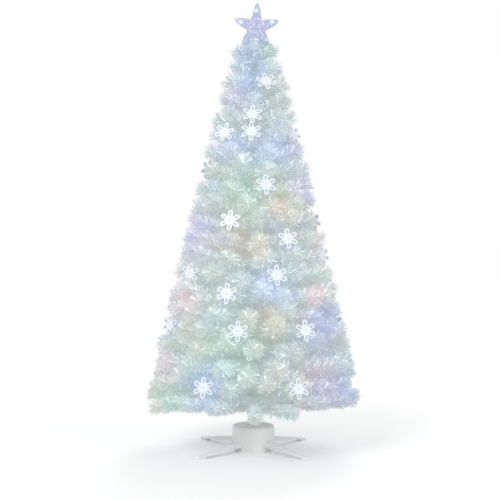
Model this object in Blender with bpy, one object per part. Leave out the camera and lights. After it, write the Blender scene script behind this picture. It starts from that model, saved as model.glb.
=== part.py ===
# White artificial tree on a round base. Rows of straight brush branches stand out from a
# pole of three plug-together sections, snowflakes sit on some of the branch tips and a star
# caps the pole. The base holds a lamp and a colour wheel that light the fibres in the pole.
# All lengths are in metres, +Z is up and the floor is at zero.
import math

import bmesh
import bpy
from mathutils import Matrix, Vector

# Fits
GAP = 0.0003
OVERRUN = 0.002
MERGE = 0.000001

# Foliage
ROW_PITCH = 0.068
FIRST_ROW_HEIGHT = 0.185
LOWEST_ROW_RADIUS = 0.408
HIGHEST_ROW_RADIUS = 0.070
BRANCH_SPACING = 0.134
BAND_HEIGHT = 0.010
BINDING = 0.0015
BRUSH_HALF_WIDTH = 0.043
BRUSH_HALF_HEIGHT = 0.0335
BRUSH_CLEARANCE = 0.002
NEEDLE_REACH = 0.018
NEEDLE_SETBACK = 0.004
NEEDLE_THICK = 0.003
WIDEST_SHARE = 0.86
STOUTNESS_SHARE = 0.45
RING_LEAN = math.radians(10)
LOWEST_TILT = math.radians(6)
TILT_RISE = math.radians(14)
TOP_TILT_RISE = math.radians(22)

# Rows to a binding, from the lowest, three bindings to a pole section
BINDING_ROWS = (3, 2, 2, 3, 2, 2, 3, 2, 2)
BINDINGS_PER_SECTION = 3
SECTIONS = ("lower", "middle", "upper")
# How far each row is turned from its binding's facets, in shares of its branch spacing
ROW_TURN_SHARES = (
    0.5, -0.09, 0.2, -0.4, 0.05, 0.45, -0.37, -0.33, 0.27, 0.16, -0.27,
    0.1, 0.34, 0.47, -0.2, 0.38, 0.41, 0.0, 0.4, -0.1, 0.35,
)

# Top sprig
SPRIG_ABOVE_ROWS = 0.025
SPRIG_LENGTH = 0.085
SPRIG_BRANCHES = 4
SPRIG_HALF_WIDTH = 0.009
SPRIG_TILT = math.radians(70)

# Snowflakes, as (row, branch) places
FLAKE_PLACES = (
    (1, 13), (1, 16), (4, 8), (4, 11), (4, 13), (4, 0), (6, 11), (7, 8), (7, 11), (8, 13),
    (9, 11), (10, 8), (10, 0), (12, 7), (13, 4), (15, 4), (15, 5), (15, 7), (16, 5), (18, 4),
    (2, 5), (6, 3), (11, 3), (14, 1),
)
FLAKE_RADIUS = 0.038
FLAKE_HUB_RADIUS = 0.0085
FLAKE_THICK = 0.002
FLAKE_RIM = 0.0026
FLAKE_TIP_HALF = 0.0085

# Pole
POLE_RADIUS = 0.016
TOP_POLE_RADIUS = 0.0095
POLE_WALL = 0.0012
POLE_SIDES = 16
PLUG_LENGTH = 0.060
FLANGE_HEIGHT = 0.004
POLE_TOP_ABOVE_SPRIG = 0.036

# Star
STAR_RADIUS = 0.091
STAR_BOTTOM_CLEAR = 0.031
STAR_EDGE = 0.002
STAR_DEPTH = 0.007
STAR_TIP_HALF = 0.006
STAR_TIP_ROUND = 0.005
STAR_VALLEY_SHARE = 0.40
STAR_STEM_RADIUS = 0.003
STAR_GRIP = 0.022
STAR_SOCKET_WALL = 0.0014
STAR_STEM_SIDES = 12

# Base housing
BASE_RADIUS = 0.085
BASE_HEIGHT = 0.100
BASE_WALL = 0.0025
BASE_EDGE = 0.009
BASE_SIDES = 32
BASE_FLOOR = 0.003
SOCKET_WALL = 0.006
SOCKET_HEIGHT = 0.046
SOCKET_SINK = 0.016
LEDGE = 0.004

# Legs
LEG_COUNT = 4
LEG_WIDTH = 0.024
LEG_LENGTH = 0.205
LEG_PIVOT_HEIGHT = 0.030
LEG_PIVOT_OUT = 0.0145
LEG_KNUCKLE = 0.0105
LEG_PIN_RADIUS = 0.003
LEG_PIN_SIDES = 12
FOOT_LENGTH = 0.034
FOOT_THICK = 0.011
FOOT_STEP = 0.006
EAR_THICK = 0.005

# Clamp screw
SCREW_RADIUS = 0.004
SCREW_SIDES = 12
SCREW_BELOW_RIM = 0.015
SCREW_NECK = 0.006
KNOB_RADIUS = 0.012
KNOB_WAIST = 0.010
KNOB_LENGTH = 0.014
SCREW_TURN = math.radians(-90 + 22.5)

# Lamp, colour wheel and motor
HOLDER_SIDE = 0.022
HOLDER_HEIGHT = 0.022
LAMP_RADIUS = 0.0165
LAMP_NECK = 0.006
LAMP_NECK_HEIGHT = 0.007
LAMP_HEIGHT = 0.030
LAMP_RIM = 0.004
LAMP_SIDES = 16
WHEEL_CLEARANCE = 0.0055
WHEEL_THICK = 0.0015
WHEEL_ABOVE_LAMP = 0.005
WHEEL_OFFSET = 0.032
WHEEL_HUB_RADIUS = 0.005
WHEEL_HUB_HEIGHT = 0.004
WHEEL_SIDES = 24
SHAFT_RADIUS = 0.0015
SHAFT_SIDES = 8
SHAFT_DEPTH = 0.006
MOTOR_RADIUS = 0.0125
MOTOR_HEIGHT = 0.024
MOTOR_BELOW_WHEEL = 0.004
MOTOR_POST_RADIUS = 0.008
MOTOR_SIDES = 16
FERRULE_RADIUS = 0.0085
FERRULE_ABOVE_WHEEL = 0.005

# Cooling fan
FAN_SIDE = 0.040
FAN_DEPTH = 0.010
FAN_BORE_RADIUS = 0.0185
FAN_SIDES = 24
FAN_IN = 0.023
FAN_SPIDER = 0.002
FAN_SPIDER_WIDTH = 0.003
FAN_BOSS_RADIUS = 0.007
FAN_PIN_RADIUS = 0.0012
FAN_PIN_SIDES = 8
FAN_HUB_RADIUS = 0.008
FAN_HUB_DEPTH = 0.006
FAN_BLADES = 5
FAN_BLADE_ROOT = 0.0008
FAN_TIP_CLEAR = 0.0012
FAN_BLADE_TWIST = math.radians(32)

# Air slots in the base's wall
SLOT_COUNT = 7
SLOT_WIDTH = 0.003
SLOT_SPACING = 0.007
SLOT_HEIGHT = 0.034
SLOT_RISE = 0.008

# Power inlet
INLET_HEIGHT = 0.020
INLET_RADIUS = 0.0055
INLET_BORE_RADIUS = 0.003
INLET_FLANGE = 0.0075
INLET_FLANGE_THICK = 0.0015
INLET_DEPTH = 0.013
INLET_BORE_DEPTH = 0.010
INLET_PIN_RADIUS = 0.001
INLET_PIN_SINK = 0.001
INLET_SIDES = 16

# Mode button and circuit board
BUTTON_RADIUS = 0.006
BUTTON_RISE = 0.003
BUTTON_FLANGE = 0.008
BUTTON_FLANGE_THICK = 0.0015
BUTTON_TRAVEL = 0.002
BUTTON_SIDES = 16
BUTTON_IN = 0.030
BUTTON_TURN = math.radians(250)
BOARD_LENGTH = 0.044
BOARD_WIDTH = 0.024
BOARD_THICK = 0.0016
BOARD_DROP = 0.020
BOARD_POST_RADIUS = 0.003
BOARD_POST_IN = 0.005
BOARD_POST_SIDES = 8
SWITCH_SIDE = 0.006
SWITCH_HEIGHT = 0.004

# Levels that follow from the sizes above
ROW_COUNT = sum(BINDING_ROWS)
POLE_SEAT = BASE_HEIGHT - SOCKET_SINK
SOCKET_TOP = BASE_HEIGHT + SOCKET_HEIGHT
SPRIG_HEIGHT = FIRST_ROW_HEIGHT + ROW_PITCH * (ROW_COUNT - 1) + SPRIG_ABOVE_ROWS
POLE_TOP = SPRIG_HEIGHT + POLE_TOP_ABOVE_SPRIG
LAMP_SEAT = BASE_FLOOR + HOLDER_HEIGHT + 2 * GAP
LAMP_TOP = LAMP_SEAT + LAMP_HEIGHT
WHEEL_RADIUS = BASE_RADIUS - BASE_WALL - WHEEL_CLEARANCE - WHEEL_OFFSET
WHEEL_LEVEL = LAMP_TOP + WHEEL_ABOVE_LAMP
MOTOR_TOP = WHEEL_LEVEL - MOTOR_BELOW_WHEEL
FERRULE_END = WHEEL_LEVEL + WHEEL_THICK + FERRULE_ABOVE_WHEEL
BOARD_TOP = BASE_HEIGHT - BASE_WALL - BOARD_DROP
UP = Vector((0, 0, 1))


def finish(name, colour, roughness, metallic=0.0, alpha=1.0):
    material = bpy.data.materials.new(name)
    material.use_nodes = True
    shader = material.node_tree.nodes["Principled BSDF"]
    shader.inputs["Base Color"].default_value = (*colour, 1.0)
    shader.inputs["Roughness"].default_value = roughness
    shader.inputs["Metallic"].default_value = metallic
    shader.inputs["Alpha"].default_value = alpha
    material.diffuse_color = (*colour, alpha)
    return material


def place_mesh(name, mesh, material, place=None):
    """An object of the mesh, at the matrix place."""
    piece = bpy.data.objects.new(name, mesh)
    bpy.context.collection.objects.link(piece)
    piece.matrix_world = place or Matrix()
    if material and not mesh.materials:
        mesh.materials.append(material)
    return piece


def to_mesh(name, bm):
    mesh = bpy.data.meshes.new(name)
    bm.to_mesh(mesh)
    bm.free()
    mesh.shade_smooth()
    mesh.set_sharp_from_angle(angle=math.radians(32))
    return mesh


def add_piece(name, bm, material, place=None):
    return place_mesh(name, to_mesh(name, bm), material, place)


def boolean(target, operation, bm, place=None):
    """Cuts a shape from the target or joins it on. The shape itself stays hidden."""
    shape = add_piece(f"{target.name}_{operation.lower()}_{len(target.modifiers)}", bm, None, place)
    shape.hide_render = True
    shape.display_type = "WIRE"
    modifier = target.modifiers.new(operation.title(), "BOOLEAN")
    modifier.operation = operation
    modifier.object = shape


def turned(profile, sides):
    """A profile of (radius, height) points turned round Z. It runs from axis to axis, or closes."""
    bm = bmesh.new()
    points = [bm.verts.new((radius, 0, height)) for radius, height in profile]
    chain = [bm.edges.new(pair) for pair in zip(points, points[1:])]
    if profile[0][0] > 0:
        chain.append(bm.edges.new((points[-1], points[0])))
    bmesh.ops.spin(
        bm, geom=points + chain, axis=UP, cent=(0, 0, 0), angle=math.tau, steps=sides, use_merge=True
    )
    bmesh.ops.remove_doubles(bm, verts=bm.verts, dist=MERGE)
    on_axis = [edge for edge in bm.edges if not edge.link_faces]
    bmesh.ops.delete(bm, geom=on_axis, context="EDGES")
    bmesh.ops.recalc_face_normals(bm, faces=bm.faces)
    return bm


def rod(radius, low, high, sides):
    return turned([(0, low), (radius, low), (radius, high), (0, high)], sides)


def block(length, width, height, centre=(0, 0, 0)):
    bm = bmesh.new()
    bmesh.ops.create_cube(bm, size=1)
    bmesh.ops.scale(bm, verts=bm.verts, vec=(length, width, height))
    bmesh.ops.translate(bm, verts=bm.verts, vec=centre)
    return bm


def around(radius, sides):
    """The corner radius of a hole with flat sides that clears a round of this radius."""
    return (radius + GAP) / math.cos(math.pi / sides)


def turned_to(angle, place=(0, 0, 0)):
    """Local +X points outwards at this angle round Z."""
    return Matrix.Translation(place) @ Matrix.Rotation(angle, 4, "Z")


def along_x():
    """Turns a shape made along Z to lie along +X."""
    return Matrix.Rotation(math.pi / 2, 4, "Y")


def section_of(row):
    """The number of the pole section that carries a row, from the lowest."""
    total = 0
    for section in range(len(SECTIONS)):
        first = section * BINDINGS_PER_SECTION
        total += sum(BINDING_ROWS[first : first + BINDINGS_PER_SECTION])
        if row < total:
            return section
    return len(SECTIONS) - 1


def rows_below(section):
    return sum(BINDING_ROWS[: section * BINDINGS_PER_SECTION])


def pole_radius_at(section):
    return TOP_POLE_RADIUS if section == len(SECTIONS) - 1 else POLE_RADIUS


def joint_height(section):
    """Where a pole section stands on the one below: half a pitch under its first row."""
    if section == 0:
        return POLE_SEAT
    return FIRST_ROW_HEIGHT + (rows_below(section) - 1) * ROW_PITCH + ROW_PITCH / 2


def row_radius(row):
    return LOWEST_ROW_RADIUS + (HIGHEST_ROW_RADIUS - LOWEST_ROW_RADIUS) * row / (ROW_COUNT - 1)


def row_tilt(row):
    climb = row / (ROW_COUNT - 1)
    return LOWEST_TILT + TILT_RISE * climb + TOP_TILT_RISE * climb**4


def row_height(row):
    return FIRST_ROW_HEIGHT + ROW_PITCH * row


def binding_of(row):
    """The number of the binding that carries a row, from the lowest."""
    total = 0
    for binding, rows in enumerate(BINDING_ROWS):
        total += rows
        if row < total:
            return binding
    return len(BINDING_ROWS) - 1


def branch_count(row):
    """Branches are bound on in opposite pairs, as many as the binding's lowest row takes."""
    lowest = sum(BINDING_ROWS[: binding_of(row)])
    pairs = round(math.tau * row_radius(lowest) / BRANCH_SPACING / 2)
    return 2 * max(2, pairs)


def branch_angle(row, branch):
    count = branch_count(row)
    return math.tau / count * (branch + 1 / 2 + ROW_TURN_SHARES[row])


def binding_radius(section):
    return pole_radius_at(section) + GAP + BINDING


def brush_frame(angle, tilt, radius, height):
    """At a branch's root: local X runs out along the branch, Y sideways and Z up."""
    return turned_to(angle) @ Matrix.Translation((radius, 0, height)) @ Matrix.Rotation(-tilt, 4, "Y")


def local_turn(offset):
    """The angle of an offset round a brush's own wire."""
    return math.atan2(offset.z, offset.y)


def grow_brush(bm, root, frame, length, half_width, half_height, side_limit):
    """Grows one brush out of a facet: a long taper to its widest ring, then a short point."""
    ring = bmesh.ops.extrude_discrete_faces(bm, faces=[root])["faces"][0]
    inverse = frame.inverted()
    centre = inverse @ ring.calc_center_median()
    widest = length * WIDEST_SHARE
    turns = {corner: local_turn(inverse @ corner.co - centre) for corner in ring.verts}
    corners = sorted(ring.verts, key=turns.get)
    quarter = math.tau / len(corners)
    lead = sum(turns[corner] - quarter * place for place, corner in enumerate(corners))
    first = round((lead / len(corners) - RING_LEAN) / quarter)
    for place, corner in enumerate(corners):
        turn = quarter * (first + place)
        corner.co = frame @ Vector(
            (widest, half_width * math.cos(turn), half_height * math.sin(turn))
        )
    point = bmesh.ops.poke(bm, faces=[ring])
    point["verts"][0].co = frame @ Vector((length, 0, 0))
    if side_limit > 0:
        for face in point["faces"]:
            grow_needle(bm, face, frame, length, half_height, side_limit)


def grow_needle(bm, face, frame, length, half_height, side_limit):
    """A needle strand stands out to the side from each upper right and lower left face."""
    middle = frame.inverted() @ face.calc_center_median()
    if middle.y * middle.z < 0:
        return
    face.normal_update()
    around_face = sum(edge.calc_length() for edge in face.edges)
    inset = 2 * face.calc_area() / around_face - NEEDLE_THICK / 2
    bmesh.ops.inset_individual(bm, faces=[face], thickness=inset, use_even_offset=True)
    tip = bmesh.ops.poke(bm, faces=[face])["verts"][0]
    side = math.copysign(side_limit, middle.y)
    rise = math.copysign(half_height / 2, middle.z)
    tip.co = frame @ Vector((length - NEEDLE_SETBACK, side, rise))


def wedge_half_width(reach, count):
    """Half of the room between neighbouring branches at a distance from the pole's axis."""
    return reach * math.tan(math.pi / count) * math.cos(math.pi / count) - BRUSH_CLEARANCE


def add_branches(binding, material):
    """A wound binding round the pole with its rows of brushes, one solid."""
    first = sum(BINDING_ROWS[:binding])
    rows = range(first, first + BINDING_ROWS[binding])
    section = section_of(first)
    count = branch_count(first)
    flat = binding_radius(section)
    corner = flat / math.cos(math.pi / count)
    bore = around(pole_radius_at(section), count)
    levels = [
        row_height(row) + end * BAND_HEIGHT / 2
        for row in rows
        for end in (-1, 1)
    ]
    profile = [(corner, level) for level in levels]
    profile += [(bore, levels[-1]), (bore, levels[0])]
    bm = turned(profile, count)
    for row in rows:
        bands = [
            face
            for face in bm.faces
            if abs(face.calc_center_median().z - row_height(row)) < MERGE
            and abs(face.normal.z) < WIDEST_SHARE
            and face.calc_center_median().xy.length > (corner + bore) / 2 * math.cos(math.pi / count)
        ]
        for root in bands:
            add_branch(bm, root, row, count, flat)
    bmesh.ops.recalc_face_normals(bm, faces=bm.faces)
    name = f"branches_{SECTIONS[section]}_{binding % BINDINGS_PER_SECTION + 1}"
    return add_piece(name, bm, material)


def add_branch(bm, root, row, count, flat):
    tilt = row_tilt(row)
    length = branch_length(row)
    middle = root.calc_center_median()
    angle = math.atan2(middle.y, middle.x) + math.tau / count * ROW_TURN_SHARES[row]
    frame = brush_frame(angle, tilt, flat, row_height(row))
    widest_reach = flat + length * WIDEST_SHARE * math.cos(tilt)
    half_width = min(BRUSH_HALF_WIDTH, wedge_half_width(widest_reach, count), length * STOUTNESS_SHARE)
    half_height = min(BRUSH_HALF_HEIGHT, ROW_PITCH / 2 * math.cos(tilt) - BRUSH_CLEARANCE)
    needle_reach = flat + (length - NEEDLE_SETBACK) * math.cos(tilt)
    side_limit = min(half_width + NEEDLE_REACH, wedge_half_width(needle_reach, count))
    if row >= ROW_COUNT - BINDING_ROWS[-1]:
        side_limit = 0
    grow_brush(bm, root, frame, length, half_width, half_height, side_limit)


def branch_length(row):
    return (row_radius(row) - binding_radius(section_of(row))) / math.cos(row_tilt(row))


def add_sprig(material):
    """The upright leader brushes round the pole's top, below the star."""
    flat = binding_radius(len(SECTIONS) - 1)
    corner = flat / math.cos(math.pi / SPRIG_BRANCHES)
    bore = around(TOP_POLE_RADIUS, SPRIG_BRANCHES)
    low = SPRIG_HEIGHT - BAND_HEIGHT / 2
    high = SPRIG_HEIGHT + BAND_HEIGHT / 2
    bm = turned([(corner, low), (corner, high), (bore, high), (bore, low)], SPRIG_BRANCHES)
    outer = [
        face
        for face in bm.faces
        if face.calc_center_median().xy.length > flat - BINDING / 2
        and abs(face.calc_center_median().z - SPRIG_HEIGHT) < MERGE
    ]
    for root in outer:
        middle = root.calc_center_median()
        frame = brush_frame(math.atan2(middle.y, middle.x), SPRIG_TILT, flat, SPRIG_HEIGHT)
        grow_brush(bm, root, frame, SPRIG_LENGTH, SPRIG_HALF_WIDTH, SPRIG_HALF_WIDTH, 0)
    bmesh.ops.recalc_face_normals(bm, faces=bm.faces)
    return add_piece("top_sprig", bm, material)


def flake_mesh(material):
    """A hexagonal hub with six looped arms, flat on its back face."""
    bm = bmesh.new()
    bmesh.ops.create_circle(bm, cap_ends=True, segments=6, radius=FLAKE_HUB_RADIUS)
    arms = []
    for edge in list(bm.edges):
        outward = ((edge.verts[0].co + edge.verts[1].co) / 2).normalized()
        across = Vector((-outward.y, outward.x, 0))
        grown = bmesh.ops.extrude_edge_only(bm, edges=[edge])["geom"]
        for corner in grown:
            if isinstance(corner, bmesh.types.BMVert):
                side = math.copysign(FLAKE_TIP_HALF, corner.co.dot(across))
                corner.co = outward * FLAKE_RADIUS + across * side
        arms += [face for face in grown if isinstance(face, bmesh.types.BMFace)]
    bm.normal_update()
    bmesh.ops.inset_individual(bm, faces=arms, thickness=FLAKE_RIM, use_even_offset=True)
    bmesh.ops.delete(bm, geom=arms, context="FACES_ONLY")
    bmesh.ops.recalc_face_normals(bm, faces=bm.faces)
    if sum(face.normal.z for face in bm.faces) < 0:
        bmesh.ops.reverse_faces(bm, faces=bm.faces)
    mesh = to_mesh("snowflake", bm)
    mesh.materials.append(material)
    return mesh


def add_snowflakes(material):
    """Each snowflake stands square across a branch's tip."""
    mesh = flake_mesh(material)
    for number, (row, branch) in enumerate(FLAKE_PLACES, 1):
        tilt = row_tilt(row)
        angle = branch_angle(row, branch % branch_count(row))
        flat = binding_radius(section_of(row))
        root = brush_frame(angle, tilt, flat, row_height(row))
        reach = branch_length(row) + GAP
        place = root @ Matrix.Translation((reach, 0, 0)) @ along_x()
        flake = place_mesh(f"snowflake_{number:02d}", mesh, None, place)
        plate = flake.modifiers.new("Plate", "SOLIDIFY")
        plate.thickness = FLAKE_THICK
        plate.offset = 1


def add_pole(section, material):
    """A tube with a plug below that fits into the section underneath."""
    name = f"pole_{SECTIONS[section]}"
    radius = pole_radius_at(section)
    low = joint_height(section)
    bore = radius - POLE_WALL
    if section == 0:
        high = joint_height(1)
        profile = [(radius, low), (radius, high), (bore, high), (bore, low)]
        return add_piece(name, turned(profile, POLE_SIDES), material)
    plug = POLE_RADIUS - POLE_WALL - GAP
    plug_bore = min(plug, radius) - POLE_WALL
    if section < len(SECTIONS) - 1:
        high = joint_height(section + 1)
        end = [(radius, high), (bore, high), (bore, low + FLANGE_HEIGHT), (plug_bore, low)]
    else:
        high = POLE_TOP
        end = [(radius, high), (0, high), (0, high - POLE_WALL), (bore, high - POLE_WALL)]
    shoulder = [(plug, low - PLUG_LENGTH), (plug, low), (POLE_RADIUS, low)]
    if radius < POLE_RADIUS:
        shoulder += [(POLE_RADIUS, low + FLANGE_HEIGHT), (radius, low + FLANGE_HEIGHT)]
    profile = shoulder + end + [(plug_bore, low - PLUG_LENGTH)]
    return add_piece(name, turned(profile, POLE_SIDES), material)


def add_fibres(section, material):
    """The bundle of light fibres that runs up inside a pole section."""
    name = f"fibre_bundle_{SECTIONS[section]}"
    low = joint_height(section)
    if section == 0:
        radius = POLE_RADIUS - POLE_WALL - GAP
        high = joint_height(1) - PLUG_LENGTH - GAP
        profile = [(0, FERRULE_END), (FERRULE_RADIUS, FERRULE_END), (FERRULE_RADIUS, low + GAP)]
        profile += [(radius, low + GAP), (radius, high), (0, high)]
        return add_piece(name, turned(profile, POLE_SIDES), material)
    plug = POLE_RADIUS - POLE_WALL - GAP
    radius = min(plug, pole_radius_at(section)) - POLE_WALL - GAP
    if section < len(SECTIONS) - 1:
        high = joint_height(section + 1) - PLUG_LENGTH - GAP
    else:
        high = POLE_TOP - POLE_WALL - GAP
    return add_piece(name, rod(radius, low - PLUG_LENGTH, high, POLE_SIDES), material)


def star_centre():
    return POLE_TOP + STAR_BOTTOM_CLEAR + STAR_RADIUS * math.cos(math.pi / 5)


def star_outline():
    """Five tapered arms with rounded tips, in the XZ plane about the star's centre."""
    outline = []
    for arm in range(5):
        angle = math.pi / 2 + math.tau / 5 * arm
        out = Vector((math.cos(angle), 0, math.sin(angle)))
        across = Vector((out.z, 0, -out.x))
        outline.append(out * (STAR_RADIUS - STAR_TIP_ROUND) + across * STAR_TIP_HALF)
        outline.append(out * STAR_RADIUS)
        outline.append(out * (STAR_RADIUS - STAR_TIP_ROUND) - across * STAR_TIP_HALF)
        valley = angle + math.pi / 5
        outline.append(
            Vector((math.cos(valley), 0, math.sin(valley))) * STAR_RADIUS * STAR_VALLEY_SHARE
        )
    return outline


def add_star_half(name, side, material):
    """Half of the star, flat at its joint, with a raised middle. Side is -1 in front, 1 behind."""
    bm = bmesh.new()
    rim = bm.faces.new([bm.verts.new(point) for point in star_outline()])
    wall = bmesh.ops.extrude_face_region(bm, geom=[rim], use_keep_orig=True)["geom"]
    moved = [corner for corner in wall if isinstance(corner, bmesh.types.BMVert)]
    bmesh.ops.translate(bm, verts=moved, vec=(0, side * STAR_EDGE, 0))
    front = [face for face in wall if isinstance(face, bmesh.types.BMFace)]
    raised = bmesh.ops.poke(bm, faces=front)["verts"]
    for corner in raised:
        corner.co = (0, side * STAR_DEPTH, 0)
    bmesh.ops.translate(bm, verts=bm.verts, vec=(0, side * GAP / 2, 0))
    bmesh.ops.recalc_face_normals(bm, faces=bm.faces)
    piece = add_piece(name, bm, material, Matrix.Translation((0, 0, star_centre())))
    channel = rod(
        around(STAR_STEM_RADIUS, STAR_STEM_SIDES), -STAR_RADIUS, GAP, STAR_STEM_SIDES
    )
    boolean(piece, "DIFFERENCE", channel, Matrix.Translation((0, 0, star_centre())))
    return piece


def add_star_socket(material):
    """The clear cap over the pole's top, with the stem that the star's halves close round."""
    inside = around(TOP_POLE_RADIUS, POLE_SIDES)
    outside = inside + STAR_SOCKET_WALL
    seat = POLE_TOP + GAP
    lid = seat + STAR_SOCKET_WALL
    profile = [(0, seat), (inside, seat), (inside, POLE_TOP - STAR_GRIP)]
    profile += [(outside, POLE_TOP - STAR_GRIP), (outside, lid), (STAR_STEM_RADIUS, lid)]
    profile += [(STAR_STEM_RADIUS, star_centre()), (0, star_centre())]
    return add_piece("star_socket", turned(profile, STAR_STEM_SIDES), material)


def button_place(height):
    return turned_to(BUTTON_TURN) @ Matrix.Translation((BASE_RADIUS - BUTTON_IN, 0, height))


def add_base_housing(material):
    """The drum with the pole's socket on top and four pairs of ears for the legs."""
    socket_in = around(POLE_RADIUS, BASE_SIDES)
    socket_out = socket_in + SOCKET_WALL
    ledge_in = around(FERRULE_RADIUS, BASE_SIDES)
    under = BASE_HEIGHT - BASE_WALL
    inner = BASE_RADIUS - BASE_WALL
    corner = BASE_EDGE * (1 - math.sqrt(1 / 2))
    profile = [
        (BASE_RADIUS, 0),
        (BASE_RADIUS, BASE_HEIGHT - BASE_EDGE),
        (BASE_RADIUS - corner, BASE_HEIGHT - corner),
        (BASE_RADIUS - BASE_EDGE, BASE_HEIGHT),
        (socket_out, BASE_HEIGHT),
        (socket_out, SOCKET_TOP),
        (socket_in, SOCKET_TOP),
        (socket_in, POLE_SEAT - GAP),
        (ledge_in, POLE_SEAT - GAP),
        (ledge_in, POLE_SEAT - LEDGE),
        (socket_out, POLE_SEAT - LEDGE),
        (socket_out, under),
        (BASE_RADIUS - BASE_EDGE, under),
        (inner, BASE_HEIGHT - BASE_EDGE),
        (inner, 0),
    ]
    housing = add_piece("base_housing", turned(profile, BASE_SIDES), material)
    for leg in range(LEG_COUNT):
        add_ears(housing, leg_place(leg))
    cut_openings(housing)
    for end in (-1, 1):
        post = rod(BOARD_POST_RADIUS, BOARD_TOP + GAP, under + BASE_WALL / 2, BOARD_POST_SIDES)
        aside = end * (BOARD_LENGTH / 2 - BOARD_POST_IN)
        boolean(housing, "UNION", post, button_place(0) @ Matrix.Translation((0, aside, 0)))
    return housing


def leg_place(leg):
    """A leg's pivot: local X points outwards and Y lies along the pin."""
    angle = math.tau / LEG_COUNT * (leg + 1 / 2)
    return turned_to(angle) @ Matrix.Translation((BASE_RADIUS + LEG_PIVOT_OUT, 0, LEG_PIVOT_HEIGHT))


def add_ears(housing, place):
    across = LEG_WIDTH / 2 + GAP + EAR_THICK / 2
    inward = LEG_PIVOT_OUT + BASE_WALL / 2
    for side in (-1, 1):
        centre = ((LEG_KNUCKLE - inward) / 2, side * across, 0)
        ear = block(LEG_KNUCKLE + inward, EAR_THICK, 2 * LEG_KNUCKLE, centre)
        boolean(housing, "UNION", ear, place)
    half = LEG_WIDTH / 2 + GAP + EAR_THICK + OVERRUN
    hole = rod(around(LEG_PIN_RADIUS, LEG_PIN_SIDES), -half, half, LEG_PIN_SIDES)
    boolean(housing, "DIFFERENCE", hole, place @ Matrix.Rotation(math.pi / 2, 4, "X"))


def cut_openings(housing):
    """The air slots, the inlet's hole, the button's hole and the clamp screw's hole."""
    middle = (SLOT_COUNT - 1) / 2
    for slot in range(SLOT_COUNT):
        place = Matrix.Translation((0, (slot - middle) * SLOT_SPACING, 0))
        height = SLOT_RISE + SLOT_HEIGHT / 2
        through = BASE_RADIUS / 2 + OVERRUN
        cutter = block(through, SLOT_WIDTH, SLOT_HEIGHT, (-BASE_RADIUS + through / 3, 0, height))
        boolean(housing, "DIFFERENCE", cutter, place)
    hole = rod(around(INLET_RADIUS, INLET_SIDES), BASE_RADIUS / 2, BASE_RADIUS + OVERRUN, INLET_SIDES)
    boolean(housing, "DIFFERENCE", hole, inlet_place(0))
    hole = rod(
        around(BUTTON_RADIUS, BUTTON_SIDES), BASE_HEIGHT - BASE_WALL - OVERRUN, BASE_HEIGHT + OVERRUN,
        BUTTON_SIDES,
    )
    boolean(housing, "DIFFERENCE", hole, button_place(0))
    hole = rod(
        around(SCREW_RADIUS, SCREW_SIDES), 0, POLE_RADIUS + GAP + SOCKET_WALL + OVERRUN, SCREW_SIDES
    )
    boolean(housing, "DIFFERENCE", hole, screw_place())


def inlet_place(out):
    """Local Z points out through the back of the drum."""
    return Matrix.Translation((0, out, INLET_HEIGHT)) @ Matrix.Rotation(-math.pi / 2, 4, "X")


def screw_place():
    """Local Z runs out along the clamp screw from the pole's axis."""
    return Matrix.Translation((0, 0, SOCKET_TOP - SCREW_BELOW_RIM)) @ turned_to(SCREW_TURN) @ along_x()


def add_base_plate(material):
    """The drum's floor with the motor's post."""
    edge = (BASE_RADIUS - BASE_WALL) * math.cos(math.pi / BASE_SIDES) - GAP
    plate = add_piece("base_plate", rod(edge, 0, BASE_FLOOR, BASE_SIDES), material)
    top = MOTOR_TOP - MOTOR_HEIGHT - GAP
    post = rod(MOTOR_POST_RADIUS, BASE_FLOOR / 2, top, MOTOR_SIDES)
    boolean(plate, "UNION", post, Matrix.Translation((WHEEL_OFFSET, 0, 0)))
    return plate


def leg_profile():
    """The leg's side, from the pivot outwards: a knuckle with a stop face, a bar and a foot."""
    stop = LEG_PIVOT_OUT - GAP
    outline = [(0, LEG_KNUCKLE), (-stop, LEG_KNUCKLE), (-stop, 0)]
    for step in range(4):
        angle = math.pi + math.pi / 6 * step
        outline.append((LEG_KNUCKLE * math.cos(angle), LEG_KNUCKLE * math.sin(angle)))
    outline.append((LEG_LENGTH - FOOT_LENGTH, FOOT_STEP - LEG_PIVOT_HEIGHT))
    outline.append((LEG_LENGTH - FOOT_LENGTH, -LEG_PIVOT_HEIGHT))
    outline.append((LEG_LENGTH, -LEG_PIVOT_HEIGHT))
    outline.append((LEG_LENGTH, FOOT_THICK / 2 - LEG_PIVOT_HEIGHT))
    outline.append((LEG_LENGTH - FOOT_THICK / 2, FOOT_THICK - LEG_PIVOT_HEIGHT))
    return outline


def extruded(outline, width):
    """An outline of (x, z) points made this wide, centred on Y."""
    bm = bmesh.new()
    side = bm.faces.new([bm.verts.new((x, -width / 2, z)) for x, z in outline])
    grown = bmesh.ops.extrude_face_region(bm, geom=[side], use_keep_orig=True)["geom"]
    moved = [corner for corner in grown if isinstance(corner, bmesh.types.BMVert)]
    bmesh.ops.translate(bm, verts=moved, vec=(0, width, 0))
    bmesh.ops.recalc_face_normals(bm, faces=bm.faces)
    return bm


def add_legs(material):
    for leg in range(LEG_COUNT):
        place = leg_place(leg)
        piece = add_piece(f"leg_{leg + 1}", extruded(leg_profile(), LEG_WIDTH), material, place)
        half = LEG_WIDTH / 2 + GAP + EAR_THICK
        pin = rod(LEG_PIN_RADIUS, -half, half, LEG_PIN_SIDES)
        boolean(piece, "UNION", pin, place @ Matrix.Rotation(math.pi / 2, 4, "X"))


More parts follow.
